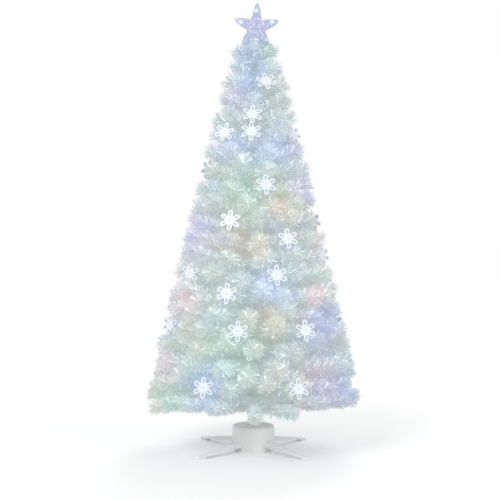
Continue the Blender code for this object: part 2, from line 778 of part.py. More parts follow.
def add_clamp_screw(material):
    """The thumb screw that holds the pole in its socket."""
    tip = POLE_RADIUS + GAP
    neck = POLE_RADIUS + 2 * GAP + SOCKET_WALL + SCREW_NECK
    lobe = KNOB_LENGTH / 4
    profile = [
        (0, tip),
        (SCREW_RADIUS, tip),
        (SCREW_RADIUS, neck),
        (KNOB_WAIST, neck),
        (KNOB_RADIUS, neck + lobe),
        (KNOB_RADIUS, neck + KNOB_LENGTH - lobe),
        (KNOB_WAIST, neck + KNOB_LENGTH),
        (0, neck + KNOB_LENGTH),
    ]
    return add_piece("pole_clamp_screw", turned(profile, SCREW_SIDES), material, screw_place())


def add_lamp(glass, ceramic):
    """The reflector lamp in its holder, right under the fibres."""
    low = BASE_FLOOR + GAP
    holder = block(HOLDER_SIDE, HOLDER_SIDE, HOLDER_HEIGHT, (0, 0, low + HOLDER_HEIGHT / 2))
    add_piece("lamp_holder", holder, ceramic)
    profile = [
        (0, LAMP_SEAT),
        (LAMP_NECK, LAMP_SEAT),
        (LAMP_NECK, LAMP_SEAT + LAMP_NECK_HEIGHT),
        (LAMP_RADIUS, LAMP_TOP - LAMP_RIM),
        (LAMP_RADIUS, LAMP_TOP),
        (0, LAMP_TOP),
    ]
    add_piece("lamp", turned(profile, LAMP_SIDES), glass)


def add_colour_wheel(film, dark, steel):
    """The tinted disc that turns between the lamp and the fibres, with its motor."""
    axle = Matrix.Translation((WHEEL_OFFSET, 0, 0))
    bore = around(SHAFT_RADIUS, WHEEL_SIDES)
    top = WHEEL_LEVEL + WHEEL_THICK
    profile = [
        (bore, WHEEL_LEVEL),
        (WHEEL_RADIUS, WHEEL_LEVEL),
        (WHEEL_RADIUS, top),
        (WHEEL_HUB_RADIUS, top),
        (WHEEL_HUB_RADIUS, top + WHEEL_HUB_HEIGHT),
        (bore, top + WHEEL_HUB_HEIGHT),
    ]
    add_piece("colour_wheel", turned(profile, WHEEL_SIDES), film, axle)
    shaft = rod(SHAFT_RADIUS, MOTOR_TOP - SHAFT_DEPTH, top + WHEEL_HUB_HEIGHT, SHAFT_SIDES)
    add_piece("motor_shaft", shaft, steel, axle)
    well = around(SHAFT_RADIUS, MOTOR_SIDES)
    low = MOTOR_TOP - MOTOR_HEIGHT
    floor = MOTOR_TOP - SHAFT_DEPTH - GAP
    profile = [(0, low), (MOTOR_RADIUS, low), (MOTOR_RADIUS, MOTOR_TOP)]
    profile += [(well, MOTOR_TOP), (well, floor), (0, floor)]
    add_piece("wheel_motor", turned(profile, MOTOR_SIDES), dark, axle)


def fan_place():
    """The fan's middle: local Z blows out through the slots in the drum's wall."""
    height = BASE_FLOOR + GAP + FAN_SIDE / 2
    return Matrix.Translation((FAN_IN - BASE_RADIUS, 0, height)) @ Matrix.Rotation(-math.pi / 2, 4, "Y")


def add_fan(frame_finish, rotor_finish):
    """A square frame with a spider and a pin, and the rotor that turns on the pin."""
    place = fan_place()
    back = -FAN_DEPTH / 2
    frame = add_piece("fan_frame", block(FAN_SIDE, FAN_SIDE, FAN_DEPTH), frame_finish, place)
    bore = rod(FAN_BORE_RADIUS, back - OVERRUN, -back + OVERRUN, FAN_SIDES)
    boolean(frame, "DIFFERENCE", bore, place)
    strut = back + FAN_SPIDER / 2
    for turn in (0, math.pi / 2):
        reach = 2 * FAN_BORE_RADIUS + OVERRUN
        bar = block(reach, FAN_SPIDER_WIDTH, FAN_SPIDER, (0, 0, strut))
        boolean(frame, "UNION", bar, place @ Matrix.Rotation(turn, 4, "Z"))
    spider_top = back + FAN_SPIDER
    pin_end = spider_top + GAP + FAN_HUB_DEPTH / 2
    profile = [(0, back), (FAN_BOSS_RADIUS, back), (FAN_BOSS_RADIUS, spider_top)]
    profile += [(FAN_PIN_RADIUS, spider_top), (FAN_PIN_RADIUS, pin_end), (0, pin_end)]
    boolean(frame, "UNION", turned(profile, FAN_PIN_SIDES), place)

    low = spider_top + GAP
    high = low + FAN_HUB_DEPTH
    well = around(FAN_PIN_RADIUS, FAN_PIN_SIDES)
    sides = 2 * FAN_BLADES
    profile = [(well, low), (FAN_HUB_RADIUS, low), (FAN_HUB_RADIUS, high), (0, high)]
    profile += [(0, pin_end + GAP), (well, pin_end + GAP)]
    bm = turned_cup(profile, sides)
    grow_blades(bm, low, high)
    add_piece("fan_rotor", bm, rotor_finish, place)


def turned_cup(profile, sides):
    """A turned shape whose profile starts off the axis but touches it between two points."""
    at_axis = [index for index, point in enumerate(profile) if point[0] == 0]
    start = at_axis[-1]
    chain = profile[start:] + profile[: at_axis[0] + 1]
    return turned(chain, sides)


def grow_blades(bm, low, high):
    """Every other facet of the hub grows a blade that twists as it goes out."""
    middle = (low + high) / 2
    facets = [
        face
        for face in bm.faces
        if abs(face.normal.z) < WIDEST_SHARE
        and face.calc_center_median().xy.length > (FAN_HUB_RADIUS + FAN_PIN_RADIUS) / 2
    ]
    facets.sort(key=lambda face: math.atan2(face.calc_center_median().y, face.calc_center_median().x))
    for face in facets[::2]:
        out = face.calc_center_median()
        out.z = 0
        reach = FAN_BORE_RADIUS * math.cos(math.pi / FAN_SIDES) - FAN_TIP_CLEAR
        bmesh.ops.inset_individual(bm, faces=[face], thickness=FAN_BLADE_ROOT, use_even_offset=True)
        blade = bmesh.ops.extrude_discrete_faces(bm, faces=[face])["faces"][0]
        centre = Vector((0, 0, middle))
        bmesh.ops.translate(bm, verts=blade.verts, vec=out.normalized() * (reach - out.length))
        bmesh.ops.rotate(
            bm, verts=blade.verts, cent=centre, matrix=Matrix.Rotation(FAN_BLADE_TWIST, 3, out)
        )
    bmesh.ops.recalc_face_normals(bm, faces=bm.faces)


def add_power_inlet(material):
    """The socket for a low-voltage plug, round its centre pin, pressed into the drum's wall."""
    outside = BASE_RADIUS + GAP
    mouth = outside + INLET_FLANGE_THICK
    profile = [
        (0, outside - INLET_DEPTH),
        (INLET_RADIUS, outside - INLET_DEPTH),
        (INLET_RADIUS, outside),
        (INLET_FLANGE, outside),
        (INLET_FLANGE, mouth),
        (INLET_BORE_RADIUS, mouth),
        (INLET_BORE_RADIUS, mouth - INLET_BORE_DEPTH),
        (INLET_PIN_RADIUS, mouth - INLET_BORE_DEPTH),
        (INLET_PIN_RADIUS, mouth - INLET_PIN_SINK),
        (0, mouth - INLET_PIN_SINK),
    ]
    return add_piece("power_inlet", turned(profile, INLET_SIDES), material, inlet_place(0))


def add_mode_button(material):
    """The sprung button on the drum's top, kept in by its flange."""
    under = BASE_HEIGHT - BASE_WALL - GAP
    stem_end = BOARD_TOP + SWITCH_HEIGHT + BUTTON_TRAVEL + GAP
    profile = [
        (0, stem_end),
        (BUTTON_RADIUS / 2, stem_end),
        (BUTTON_RADIUS / 2, under - BUTTON_FLANGE_THICK),
        (BUTTON_FLANGE, under - BUTTON_FLANGE_THICK),
        (BUTTON_FLANGE, under),
        (BUTTON_RADIUS, under),
        (BUTTON_RADIUS, BASE_HEIGHT + BUTTON_RISE),
        (0, BASE_HEIGHT + BUTTON_RISE),
    ]
    return add_piece("mode_button", turned(profile, BUTTON_SIDES), material, button_place(0))


def add_circuit_board(material):
    """The board on its two posts, with the switch right under the button."""
    centre = (0, 0, BOARD_TOP - BOARD_THICK / 2)
    board = block(BOARD_WIDTH, BOARD_LENGTH, BOARD_THICK, centre)
    piece = add_piece("circuit_board", board, material, button_place(0))
    depth = SWITCH_HEIGHT + BOARD_THICK / 2
    switch = block(SWITCH_SIDE, SWITCH_SIDE, depth, (0, 0, BOARD_TOP + SWITCH_HEIGHT - depth / 2))
    boolean(piece, "UNION", switch, button_place(0))
    return piece


def build():
    white_plastic = finish("white_plastic", (0.80, 0.81, 0.84), 0.45)
    grey_plastic = finish("grey_plastic", (0.45, 0.47, 0.50), 0.5)
    dark_plastic = finish("dark_plastic", (0.05, 0.05, 0.06), 0.5)
    frosted_needles = finish("frosted_needles", (0.78, 0.81, 0.86), 0.4)
    acrylic = finish("clear_acrylic", (0.80, 0.84, 0.95), 0.12, alpha=0.7)
    glitter = finish("glitter_acrylic", (0.66, 0.70, 0.84), 0.3)
    coated_steel = finish("coated_steel", (0.75, 0.76, 0.78), 0.35, 0.6)
    steel = finish("steel", (0.55, 0.56, 0.58), 0.3, 1.0)
    ceramic = finish("ceramic", (0.86, 0.85, 0.80), 0.6)
    lamp_glass = finish("lamp_glass", (0.85, 0.86, 0.88), 0.08, alpha=0.8)
    tinted_film = finish("tinted_film", (0.45, 0.30, 0.75), 0.15, alpha=0.8)
    fibre = finish("light_fibre", (0.86, 0.90, 0.96), 0.15)
    green_board = finish("circuit_board", (0.03, 0.22, 0.08), 0.45)

    add_base_housing(white_plastic)
    add_base_plate(grey_plastic)
    add_legs(white_plastic)
    add_clamp_screw(grey_plastic)
    add_lamp(lamp_glass, ceramic)
    add_colour_wheel(tinted_film, dark_plastic, steel)
    add_fan(dark_plastic, dark_plastic)
    add_power_inlet(dark_plastic)
    add_mode_button(grey_plastic)
    add_circuit_board(green_board)
    for section in range(len(SECTIONS)):
        add_pole(section, coated_steel)
        add_fibres(section, fibre)
    for binding in range(len(BINDING_ROWS)):
        add_branches(binding, frosted_needles)
    add_sprig(frosted_needles)
    add_snowflakes(acrylic)
    add_star_socket(acrylic)
    add_star_half("star_front", -1, glitter)
    add_star_half("star_back", 1, glitter)


for old in list(bpy.data.objects):
    bpy.data.objects.remove(old, do_unlink=True)
build()
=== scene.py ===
import math
import random

import bmesh
import bpy
import numpy
from mathutils import Matrix, Vector


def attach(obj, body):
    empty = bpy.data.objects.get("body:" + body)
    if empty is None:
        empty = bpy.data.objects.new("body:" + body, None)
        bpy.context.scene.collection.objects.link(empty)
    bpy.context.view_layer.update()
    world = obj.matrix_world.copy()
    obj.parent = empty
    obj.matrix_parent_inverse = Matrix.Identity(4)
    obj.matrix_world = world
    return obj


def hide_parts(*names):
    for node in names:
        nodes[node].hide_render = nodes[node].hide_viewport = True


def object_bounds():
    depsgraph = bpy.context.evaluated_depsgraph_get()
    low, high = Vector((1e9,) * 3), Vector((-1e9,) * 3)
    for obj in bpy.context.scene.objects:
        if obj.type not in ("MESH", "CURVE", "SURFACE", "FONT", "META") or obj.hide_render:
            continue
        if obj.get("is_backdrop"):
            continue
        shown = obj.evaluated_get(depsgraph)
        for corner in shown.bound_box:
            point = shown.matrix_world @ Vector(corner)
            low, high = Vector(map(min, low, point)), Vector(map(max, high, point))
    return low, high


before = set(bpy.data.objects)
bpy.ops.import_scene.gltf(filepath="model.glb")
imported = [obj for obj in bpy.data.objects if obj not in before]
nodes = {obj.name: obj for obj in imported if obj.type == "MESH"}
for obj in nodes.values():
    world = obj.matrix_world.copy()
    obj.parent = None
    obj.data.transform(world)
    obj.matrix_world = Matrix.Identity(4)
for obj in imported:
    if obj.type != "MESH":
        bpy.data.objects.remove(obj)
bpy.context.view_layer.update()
chance = random.Random(11)
print("frame loaded")


# sRGB hex to the linear colour that shaders work in
def colour(hexCode):
    parts = [int(hexCode[place : place + 2], 16) / 255 for place in (0, 2, 4)]
    linear = [((part + 0.055) / 1.055) ** 2.4 if part > 0.04045 else part / 12.92 for part in parts]
    return (*linear, 1.0)


# adds a node; values go to its sockets and links come from other nodes' sockets, by name or
# number: Mix has its colours in 6 and 7 and gives 2, Map Range turns 1 and 2 into 3 and 4
def addNode(material, kind, values=None, links=None, **options):
    node = material.node_tree.nodes.new(f"ShaderNode{kind}")
    for name, value in options.items():
        setattr(node, name, value)
    for socket, value in (values or {}).items():
        node.inputs[socket].default_value = value
    for socket, source in (links or {}).items():
        material.node_tree.links.new(source, node.inputs[socket])
    return node


# a Principled material; settings are the shader's own sockets
def newMaterial(name, settings):
    material = bpy.data.materials.new(name)
    material.use_nodes = True
    shader = material.node_tree.nodes["Principled BSDF"]
    for socket, value in settings.items():
        shader.inputs[socket].default_value = value
    return material


# links other nodes' sockets to the shader's
def feed(material, links):
    shader = material.node_tree.nodes["Principled BSDF"]
    for socket, source in links.items():
        material.node_tree.links.new(source, shader.inputs[socket])


# a material whose two tones are mixed by a texture of a real size in millimetres; the
# texture may also raise a bump, given as strength and height, and drive a glow, given as
# the texture's range and the glow's
def newFinish(name, settings, kind, size, tones, texture=None, bump=None, glow=None, factor="Fac", **options):
    material = newMaterial(name, settings)
    place = addNode(material, "TexCoord")
    # what the pattern measures at a scale of 1, in millimetres
    span = 1000 * math.tau / 20 if kind == "TexWave" else 1000
    values = {"Scale": span / size, **(texture or {})}
    pattern = addNode(material, kind, values, {"Vector": place.outputs["Object"]}, **options)
    share = pattern.outputs[factor]
    tone = addNode(
        material, "Mix", {6: colour(tones[0]), 7: colour(tones[1])}, {0: share}, data_type="RGBA"
    )
    feed(material, {"Base Color": tone.outputs[2]})
    if bump:
        raised = addNode(material, "Bump", {"Strength": bump[0], "Distance": bump[1]}, {"Height": share})
        feed(material, {"Normal": raised.outputs[0]})
    if glow:
        strength = addNode(material, "MapRange", dict(zip((1, 2, 3, 4), glow)), {0: share})
        feed(material, {"Emission Strength": strength.outputs[0]})
    return material


# mesh pieces sit at the origin, and faces that meet under the given angle shade smooth
def addPiece(name, mesh, material, body, smooth=None):
    piece = bpy.data.objects.new(name, mesh)
    bpy.context.collection.objects.link(piece)
    mesh.materials.append(material)
    if smooth:
        mesh.shade_smooth()
        mesh.set_sharp_from_angle(angle=math.radians(smooth))
    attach(piece, body)
    return piece


def addRounding(piece, levels):
    rounding = piece.modifiers.new("rounding", "SUBSURF")
    rounding.levels = rounding.render_levels = levels


def toMesh(name, bm):
    mesh = bpy.data.meshes.new(name)
    bm.to_mesh(mesh)
    bm.free()
    return mesh


# adds a placed copy of a mesh to a growing one, with a tint of its own where one is given
def stamp(bm, mesh, place, tint=None):
    copy = mesh.copy()
    if tint is not None:
        data = copy.attributes["fibreLightAndTint"].data
        data.foreach_set("color", numpy.tile(tint, len(data)))
    copy.transform(place)
    bm.from_mesh(copy)
    bpy.data.meshes.remove(copy)


mergeDistance = 0.00005


# turns a line of vertices round +Z into a closed shape
def spinLine(bm, verts, steps):
    line = [bm.edges.new(pair) for pair in zip(verts, verts[1:])]
    bmesh.ops.spin(
        bm, geom=verts + line, cent=(0, 0, 0), axis=(0, 0, 1), angle=math.tau, steps=steps, use_merge=True
    )
    bmesh.ops.remove_doubles(bm, verts=bm.verts, dist=mergeDistance)
    bmesh.ops.recalc_face_normals(bm, faces=bm.faces)


# camera and light
cameraSettings = {"place": (0, -4.5, 0.9), "lens": 80.6, "pitch": -1.22, "yaw": 0.23, "roll": -0.3}

camera = bpy.data.objects.new("camera", bpy.data.cameras.new("camera"))
bpy.context.collection.objects.link(camera)
camera.data.lens = cameraSettings["lens"]
camera.location = cameraSettings["place"]
camera.rotation_euler = (
    math.radians(90 + cameraSettings["pitch"]),
    math.radians(cameraSettings["roll"]),
    math.radians(cameraSettings["yaw"]),
)
bpy.context.scene.camera = camera
bpy.context.scene.view_settings.view_transform = "Standard"

lightSettings = {
    "sky": 0.62,
    "aim": (0, 0, 0.9),
    "lamps": {
        "key": {"place": (-2.6, -4.2, 3.6), "size": 2.6, "watts": 150},
        "fill": {"place": (3.4, -3.0, 2.0), "size": 2.2, "watts": 45},
        "rim": {"place": (0.8, 3.2, 3.2), "size": 2.0, "watts": 60},
    },
}

for name, lamp in lightSettings["lamps"].items():
    light = bpy.data.objects.new(name, bpy.data.lights.new(name, "AREA"))
    bpy.context.collection.objects.link(light)
    light.data.energy = lamp["watts"]
    light.data.size = lamp["size"]
    light.location = lamp["place"]
    towards = Vector(lightSettings["aim"]) - light.location
    light.rotation_euler = towards.to_track_quat("-Z", "Y").to_euler()

# the backdrop is white to the camera and in what shines or lets light through, and only
# as bright as the sky's level to all else
world = bpy.data.worlds.new("studio")
bpy.context.scene.world = world
world.use_nodes = True
world.node_tree.nodes.clear()
rays = addNode(world, "LightPath").outputs
seen = addNode(
    world, "Math", links={0: rays["Is Camera Ray"], 1: rays["Is Glossy Ray"]}, operation="MAXIMUM"
)
seen = addNode(
    world, "Math", links={0: seen.outputs[0], 1: rays["Is Transmission Ray"]}, operation="MAXIMUM"
)
level = addNode(world, "Mix", {2: lightSettings["sky"], 3: 1.0}, {0: seen.outputs[0]})
backdrop = addNode(world, "Background", {"Color": colour("ffffff")}, {"Strength": level.outputs[0]})
addNode(world, "OutputWorld", links={"Surface": backdrop.outputs[0]})

# matt white floor; a glow that only the camera sees, faint under the tree so that its
# shadow stays and stronger far out, lifts the floor to the white of the backdrop
floorSettings = {
    "radius": 14, "sides": 48, "tone": (0.86, 0.86, 0.86, 1),  # linear
    # distances from the tree and the glow's strengths there
    "reach": (1.0, 7.5), "glow": (0.10, 0.51),
}

floorMaterial = newMaterial(
    "mattFloor",
    {"Base Color": floorSettings["tone"], "Roughness": 0.9, "Emission Color": colour("ffffff")},
)
place = addNode(floorMaterial, "TexCoord")
outward = addNode(floorMaterial, "VectorMath", links={0: place.outputs["Object"]}, operation="LENGTH")
ranges = dict(zip((1, 2, 3, 4), floorSettings["reach"] + floorSettings["glow"]))
lift = addNode(floorMaterial, "MapRange", ranges, {0: outward.outputs["Value"]})
rays = addNode(floorMaterial, "LightPath").outputs
floorGlow = addNode(
    floorMaterial, "Math", links={0: rays["Is Camera Ray"], 1: lift.outputs[0]}, operation="MULTIPLY"
)
feed(floorMaterial, {"Emission Strength": floorGlow.outputs[0]})

bm = bmesh.new()
bmesh.ops.create_circle(
    bm, cap_ends=True, segments=floorSettings["sides"], radius=floorSettings["radius"]
)
floor = bpy.data.objects.new("floor", toMesh("floor", bm))
floor.data.materials.append(floorMaterial)
bpy.context.collection.objects.link(floor)
floor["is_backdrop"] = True
print("camera and light set")


# tints of the fibres' light and how the film of the needles shows them
filmLook = {
    "tints": {
        "frost": "c5cdcb", "mint": "c1dac8", "blue": "c3cfee", "sky": "b4ccef",
        "lavender": "cec4e4", "violet": "b4b5de", "peach": "dacbbb", "pink": "e2c6cd",
    },
    "patchShare": 0.95,  # of a light patch in its middle
    "strayShare": 0.08,  # of a branch's own tint
    "backLift": 0.09,
    "sideBlend": 0.12,
    # clouds of tint as wide as a brush, and their tints by the noise's level
    "cloudSize": 85, "cloudShare": 0.35,
    "clouds": ((0.34, "c3cade"), (0.5, "c9d5ce"), (0.66, "d6cdc6")),
    # painted highlights and painted light: the palest needles turn near-white, and every needle glows, the
    # highlights most
    "highlight": "edf3f1", "streakFrom": 0.97,
    "glow": (0.50, 0.56),  # of needles and streaks
    # how well lit the needles are, by height
    "levels": (
        (0.20, 0.85), (0.35, 0.90), (0.55, 0.94), (0.70, 0.98), (0.85, 0.90),
        (1.25, 0.91), (1.42, 0.86), (1.55, 0.78), (1.63, 0.70),
    ),
}

# iridescent PVC film, slit into flat needles: a milky body tinted by the fibres' light,
# a sharp thin-film glint, pale streaks that are painted highlights where a needle would
# catch the light, and a glow of painted light, the fibres' light on the film, that lifts its shade
filmMaterial = newMaterial(
    "iridescentPvcFilm",
    {"Roughness": 0.32, "IOR": 1.54, "Thin Film Thickness": 420.0, "Thin Film IOR": 1.38},
)
place = addNode(filmMaterial, "TexCoord")
tint = addNode(filmMaterial, "Attribute", attribute_name="fibreLightAndTint")
shade = addNode(filmMaterial, "Attribute", attribute_name="needleShade").outputs["Fac"]
clouds = addNode(
    filmMaterial, "TexNoise", {"Scale": 1000 / filmLook["cloudSize"], "Detail": 1.5},
    {"Vector": place.outputs["Object"]},
)
hue = addNode(filmMaterial, "ValToRGB", links={0: clouds.outputs["Fac"]})
stops = hue.color_ramp.elements
stops[0].position, stops[1].position = filmLook["clouds"][0][0], filmLook["clouds"][-1][0]
stops.new(filmLook["clouds"][1][0])
for stop, (_, code) in zip(stops, filmLook["clouds"]):
    stop.color = colour(code)
clouded = addNode(
    filmMaterial, "Mix", {0: filmLook["cloudShare"]}, {6: tint.outputs["Color"], 7: hue.outputs["Color"]},
    data_type="RGBA",
)
shaded = addNode(
    filmMaterial, "Mix", {6: colour("000000")}, {0: shade, 7: clouded.outputs[2]}, data_type="RGBA"
)
# painted highlight: needles of the palest shade
highlight = addNode(filmMaterial, "MapRange", {1: filmLook["streakFrom"], 2: 1.0}, {0: shade}).outputs[0]
finished = addNode(
    filmMaterial, "Mix", {7: colour(filmLook["highlight"])}, {0: highlight, 6: shaded.outputs[2]},
    data_type="RGBA",
).outputs[2]
glow = addNode(filmMaterial, "MapRange", dict(zip((3, 4), filmLook["glow"])), {0: highlight})
feed(
    filmMaterial,
    {"Base Color": finished, "Emission Color": finished, "Emission Strength": glow.outputs[0]},
)

# lacquered steel wire, two strands twisted: pale and dull, with slanting grooves 4 mm
# apart, darker in the grooves with painted shade; slanting bands stand 2 / sqrt(3) times
# as far apart as upright ones
wireMaterial = newFinish(
    "twistedSteelWire", {"Metallic": 0.3, "Roughness": 0.45},
    "TexWave", 4.031 * math.sqrt(3) / 2, ("b4b6ac", "d3d5cc"), {"Distortion": 0.4}, (0.5, 0.0004),
    bands_direction="DIAGONAL",
)

# brass crimp on a wire's end: yellowish, worn darker in spots
crimpMaterial = newFinish(
    "brassCrimp", {"Metallic": 0.4, "Roughness": 0.4}, "TexNoise", 1.429, ("b0a36a", "cfc38d")
)

# light fibres, PMMA, shown 1.4 mm thick so that they are seen: clear, lit from inside,
# and faintly cloudy along their length
strandMaterial = newFinish(
    "drawnPmma",
    {"Roughness": 0.15, "IOR": 1.49, "Emission Color": colour("e4f4ee"), "Emission Strength": 0.20},
    "TexNoise", 16.67, ("d2e4dc", "eceff5"),
)

# their cut ends: small and bright, some fuller than others
strandEndMaterial = newFinish(
    "cutPmma", {"Roughness": 0.25, "IOR": 1.49, "Emission Color": colour("f6faff")},
    "TexNoise", 28.57, ("e2eaf4", "f8faff"), glow=(0.35, 0.65, 0.25, 0.8),
)

# soft PVC tape wound round the pole: white, with a dull overlap line on every second lap
tapeMaterial = newFinish(
    "woundPvcTape", {"Roughness": 0.5, "IOR": 1.54},
    "TexWave", 17.75, ("e6e8e4", "c9cdc9"), {"Distortion": 0.6, "Detail": 0.0}, (0.6, 0.0004),
    bands_direction="Z", wave_profile="SAW",
)


# the tree as its solids have it
treeShape = {
    "rows": 21, "firstHeight": 0.185, "pitch": 0.068,
    "lowRadius": 0.408, "highRadius": 0.070,
    "poleRadius": 0.016, "topPoleRadius": 0.0095, "binding": 0.0018,
    "tilt": (6, 14, 22),
    "counts": (20, 20, 20, 16, 16, 16, 16, 14, 14, 14, 12, 12, 10, 10, 8, 8, 8, 6, 6, 4, 4),
    # how far each row is turned, in shares of its branch spacing
    "turns": (
        0.5, -0.09, 0.2, -0.4, 0.05, 0.45, -0.37, -0.33, 0.27, 0.16, -0.27,
        0.1, 0.34, 0.47, -0.2, 0.38, 0.41, 0.0, 0.4, -0.1, 0.35,
    ),
    "bindingRows": (3, 2, 2, 3, 2, 2, 3, 2, 2),
    "sections": ("lower", "middle", "upper"),
}

# light of the fibres as it shows from the front: across, up, reach and tint
lightPatches = (
    (-0.02, 1.60, 0.08, "sky"), (0.05, 1.60, 0.03, "mint"),
    (-0.02, 1.49, 0.08, "sky"), (-0.08, 1.42, 0.05, "lavender"),
    (-0.09, 1.22, 0.075, "blue"), (0.06, 1.21, 0.075, "blue"), (0.15, 1.21, 0.05, "violet"),
    (0.20, 1.06, 0.06, "lavender"), (-0.02, 1.05, 0.09, "mint"), (0.10, 0.97, 0.06, "peach"),
    (-0.06, 0.85, 0.06, "peach"), (0.01, 0.80, 0.05, "peach"), (-0.24, 0.87, 0.08, "lavender"),
    (0.27, 0.82, 0.04, "pink"), (0.07, 0.68, 0.08, "blue"), (-0.28, 0.61, 0.06, "pink"),
    (0.25, 0.63, 0.05, "pink"), (0.27, 0.51, 0.09, "violet"), (0.06, 0.53, 0.06, "peach"),
    (-0.10, 0.43, 0.10, "mint"), (-0.35, 0.35, 0.06, "pink"), (-0.19, 0.28, 0.09, "sky"),
    (-0.33, 0.22, 0.07, "mint"), (0.24, 0.32, 0.06, "pink"), (0.33, 0.26, 0.09, "violet"),
)


def rowRadius(row):
    span = treeShape["highRadius"] - treeShape["lowRadius"]
    return treeShape["lowRadius"] + span * row / (treeShape["rows"] - 1)


def rowHeight(row):
    return treeShape["firstHeight"] + treeShape["pitch"] * row


def rowTilt(row):
    climb = row / (treeShape["rows"] - 1)
    low, rise, topRise = treeShape["tilt"]
    return math.radians(low + rise * climb + topRise * climb**4)


def bindingOf(row):
    total = 0
    for binding, rows in enumerate(treeShape["bindingRows"]):
        total += rows
        if row < total:
            return binding


# each pole section has three bindings
def rowSection(row):
    return treeShape["sections"][bindingOf(row) // 3]


def rowNode(row):
    return f"branches_{rowSection(row)}_{bindingOf(row) % 3 + 1}"


def rowBody(row):
    return f"{rowSection(row)}_section"


def poleRadius(row):
    return treeShape["topPoleRadius" if rowSection(row) == "upper" else "poleRadius"]


def rootRadius(row):
    return poleRadius(row) + treeShape["binding"]


def brushLength(row):
    return (rowRadius(row) - rootRadius(row)) / math.cos(rowTilt(row))


# a branch's root: local +X runs out along its wire, Z is up
def branchFrame(row, branch):
    angle = math.tau / treeShape["counts"][row] * (branch + 0.5 + treeShape["turns"][row])
    root = Matrix.Translation((rootRadius(row), 0, rowHeight(row)))
    return Matrix.Rotation(angle, 4, "Z") @ root @ Matrix.Rotation(-rowTilt(row), 4, "Y")


# the light of the fibres at places given across and up
def lightAt(across, up):
    tints = {name: numpy.array(colour(code)) for name, code in filmLook["tints"].items()}
    found = numpy.tile(tints["frost"], (len(across), 1))
    for centre, height, reach, name in lightPatches:
        away = numpy.hypot(across - centre, up - height) / reach
        share = (filmLook["patchShare"] * numpy.exp(-(away**2)))[:, None]
        found = found * (1 - share) + tints[name] * share
    return found


# tints a foliage mesh by where its needles are, with the fibres' light painted in and painted
# shade by height; the back mirrors the front a bit higher, and at the sides one passes
# smoothly into the other
def tintFoliage(mesh):
    places = numpy.empty(len(mesh.vertices) * 3)
    mesh.vertices.foreach_get("co", places)
    across, depth, up = places.reshape(-1, 3).T
    front = numpy.clip(1 - depth / filmLook["sideBlend"], 0, 1)[:, None]
    found = lightAt(across, up) * front + lightAt(-across, up - filmLook["backLift"]) * (1 - front)
    # painted shade: darker towards the top and the bottom
    found[:, :3] *= numpy.interp(up, *zip(*filmLook["levels"]))[:, None]
    data = mesh.attributes["fibreLightAndTint"].data
    stray = numpy.empty(len(data) * 4)
    data.foreach_get("color", stray)
    share = filmLook["strayShare"]
    data.foreach_set("color", (found * (1 - share) + stray.reshape(-1, 4) * share).ravel())
    return mesh


# a branch's own tint, which shows faintly over the light
def strayTint():
    return colour(filmLook["tints"][chance.choice(sorted(filmLook["tints"]))])


# angles are in degrees
brushLook = {
    "needleLength": 0.053,
    "needleWidth": 0.0025,
    "streakWidth": 0.0026,
    "needleSides": 3,
    "flatShare": 0.35,  # a needle's thickness to its width
    # shades of the needles, darkest first, and shares of the length that they come in
    "shades": (0.64, 0.80, 0.85, 0.89, 0.92, 0.95),
    "needleShares": (0.8, 0.9, 1.0),
    "streakShares": (0.75, 0.85, 0.95),
    "streakPinch": 0.5,
    # in each pool of whorls: how many, lean, needles, scale, share of streaks, palest share
    "pools": {
        "outer": (9, 40, 27, 1.0, 0.08, 1.0),
        "inner": (5, 40, 23, 1.0, 0.025, 1.0),
        "root": (4, 8, 27, 1.0, 0.025, 1.0),
        "tip": (6, 48, 29, 0.88, 0.0125, 1.0),
        "collar": (4, 8, 27, 1.0, 0.0, 0.6),
    },
    # in a whorl: how unevenly needles stand and lean, how much paler the upper ones are, as painted light
    # from above
    "uneven": 0.35,
    "leanSpread": 18,
    "paleShares": (0.86, 0.07),
    "upperStreaks": 0.7,
    # along the wire: steps between whorls, and how much closer they are at the tip
    "start": 0.008,
    "step": 0.0046,
    "innerStep": 0.009,
    "tipCrowding": 0.5,
    # how far the kinds of whorl reach from the tip or the root, and the bare wire at the tip
    "denseRun": 0.16,
    "tipRun": 0.020,
    "collarRun": 0.036,
    "rootRun": 0.020,
    "tipGap": 0.002,
    "collarGap": 0.010,
    # how a whorl varies in size and is turned on the wire
    "sizes": (0.9, 1.0),
    "spin": 24,
    "wireRadius": 0.0011,
    "wireEnd": 0.0026,
    "wireSides": 6,
    "wireCuts": 5,
    # a brush's girth by its length, and what the lowest rows lose of it
    "girth": (0.90, 0.5),
    "lowTrim": (0.24, 0.09),
    # how far the tips hang, on a brush of the given length, and how branches stray
    "droops": (0.0, 0.008, 0.018, -0.010),
    "droopLength": 0.3,
    "wobble": (6, 4.5),
}


# a growing mesh with the attributes that the film reads
def newFoliage():
    bm = bmesh.new()
    bm.verts.layers.float.new("needleShade")
    bm.verts.layers.float_color.new("fibreLightAndTint")
    return bm


# needles stand on +Z: flat film, pinched to the given share of its width at the wire
def buildNeedle(width, length, shadeValue, pinch):
    bm = newFoliage()
    bmesh.ops.create_cone(
        bm, cap_ends=True, segments=brushLook["needleSides"], depth=length,
        radius1=width / 2 * pinch, radius2=width / 2,
    )
    bmesh.ops.translate(bm, verts=bm.verts, vec=(0, 0, length / 2))
    bmesh.ops.scale(bm, verts=bm.verts, vec=(1, brushLook["flatShare"], 1))
    shadeLayer = bm.verts.layers.float["needleShade"]
    for vert in bm.verts:
        vert[shadeLayer] = shadeValue
    return toMesh("needle", bm)


# what the whorls are made of
needles = [
    buildNeedle(brushLook["needleWidth"], brushLook["needleLength"] * share, value, 0)
    for value in brushLook["shades"]
    for share in brushLook["needleShares"]
]
streaks = [
    buildNeedle(brushLook["streakWidth"], brushLook["needleLength"] * share, 1.0, brushLook["streakPinch"])
    for share in brushLook["streakShares"]
]
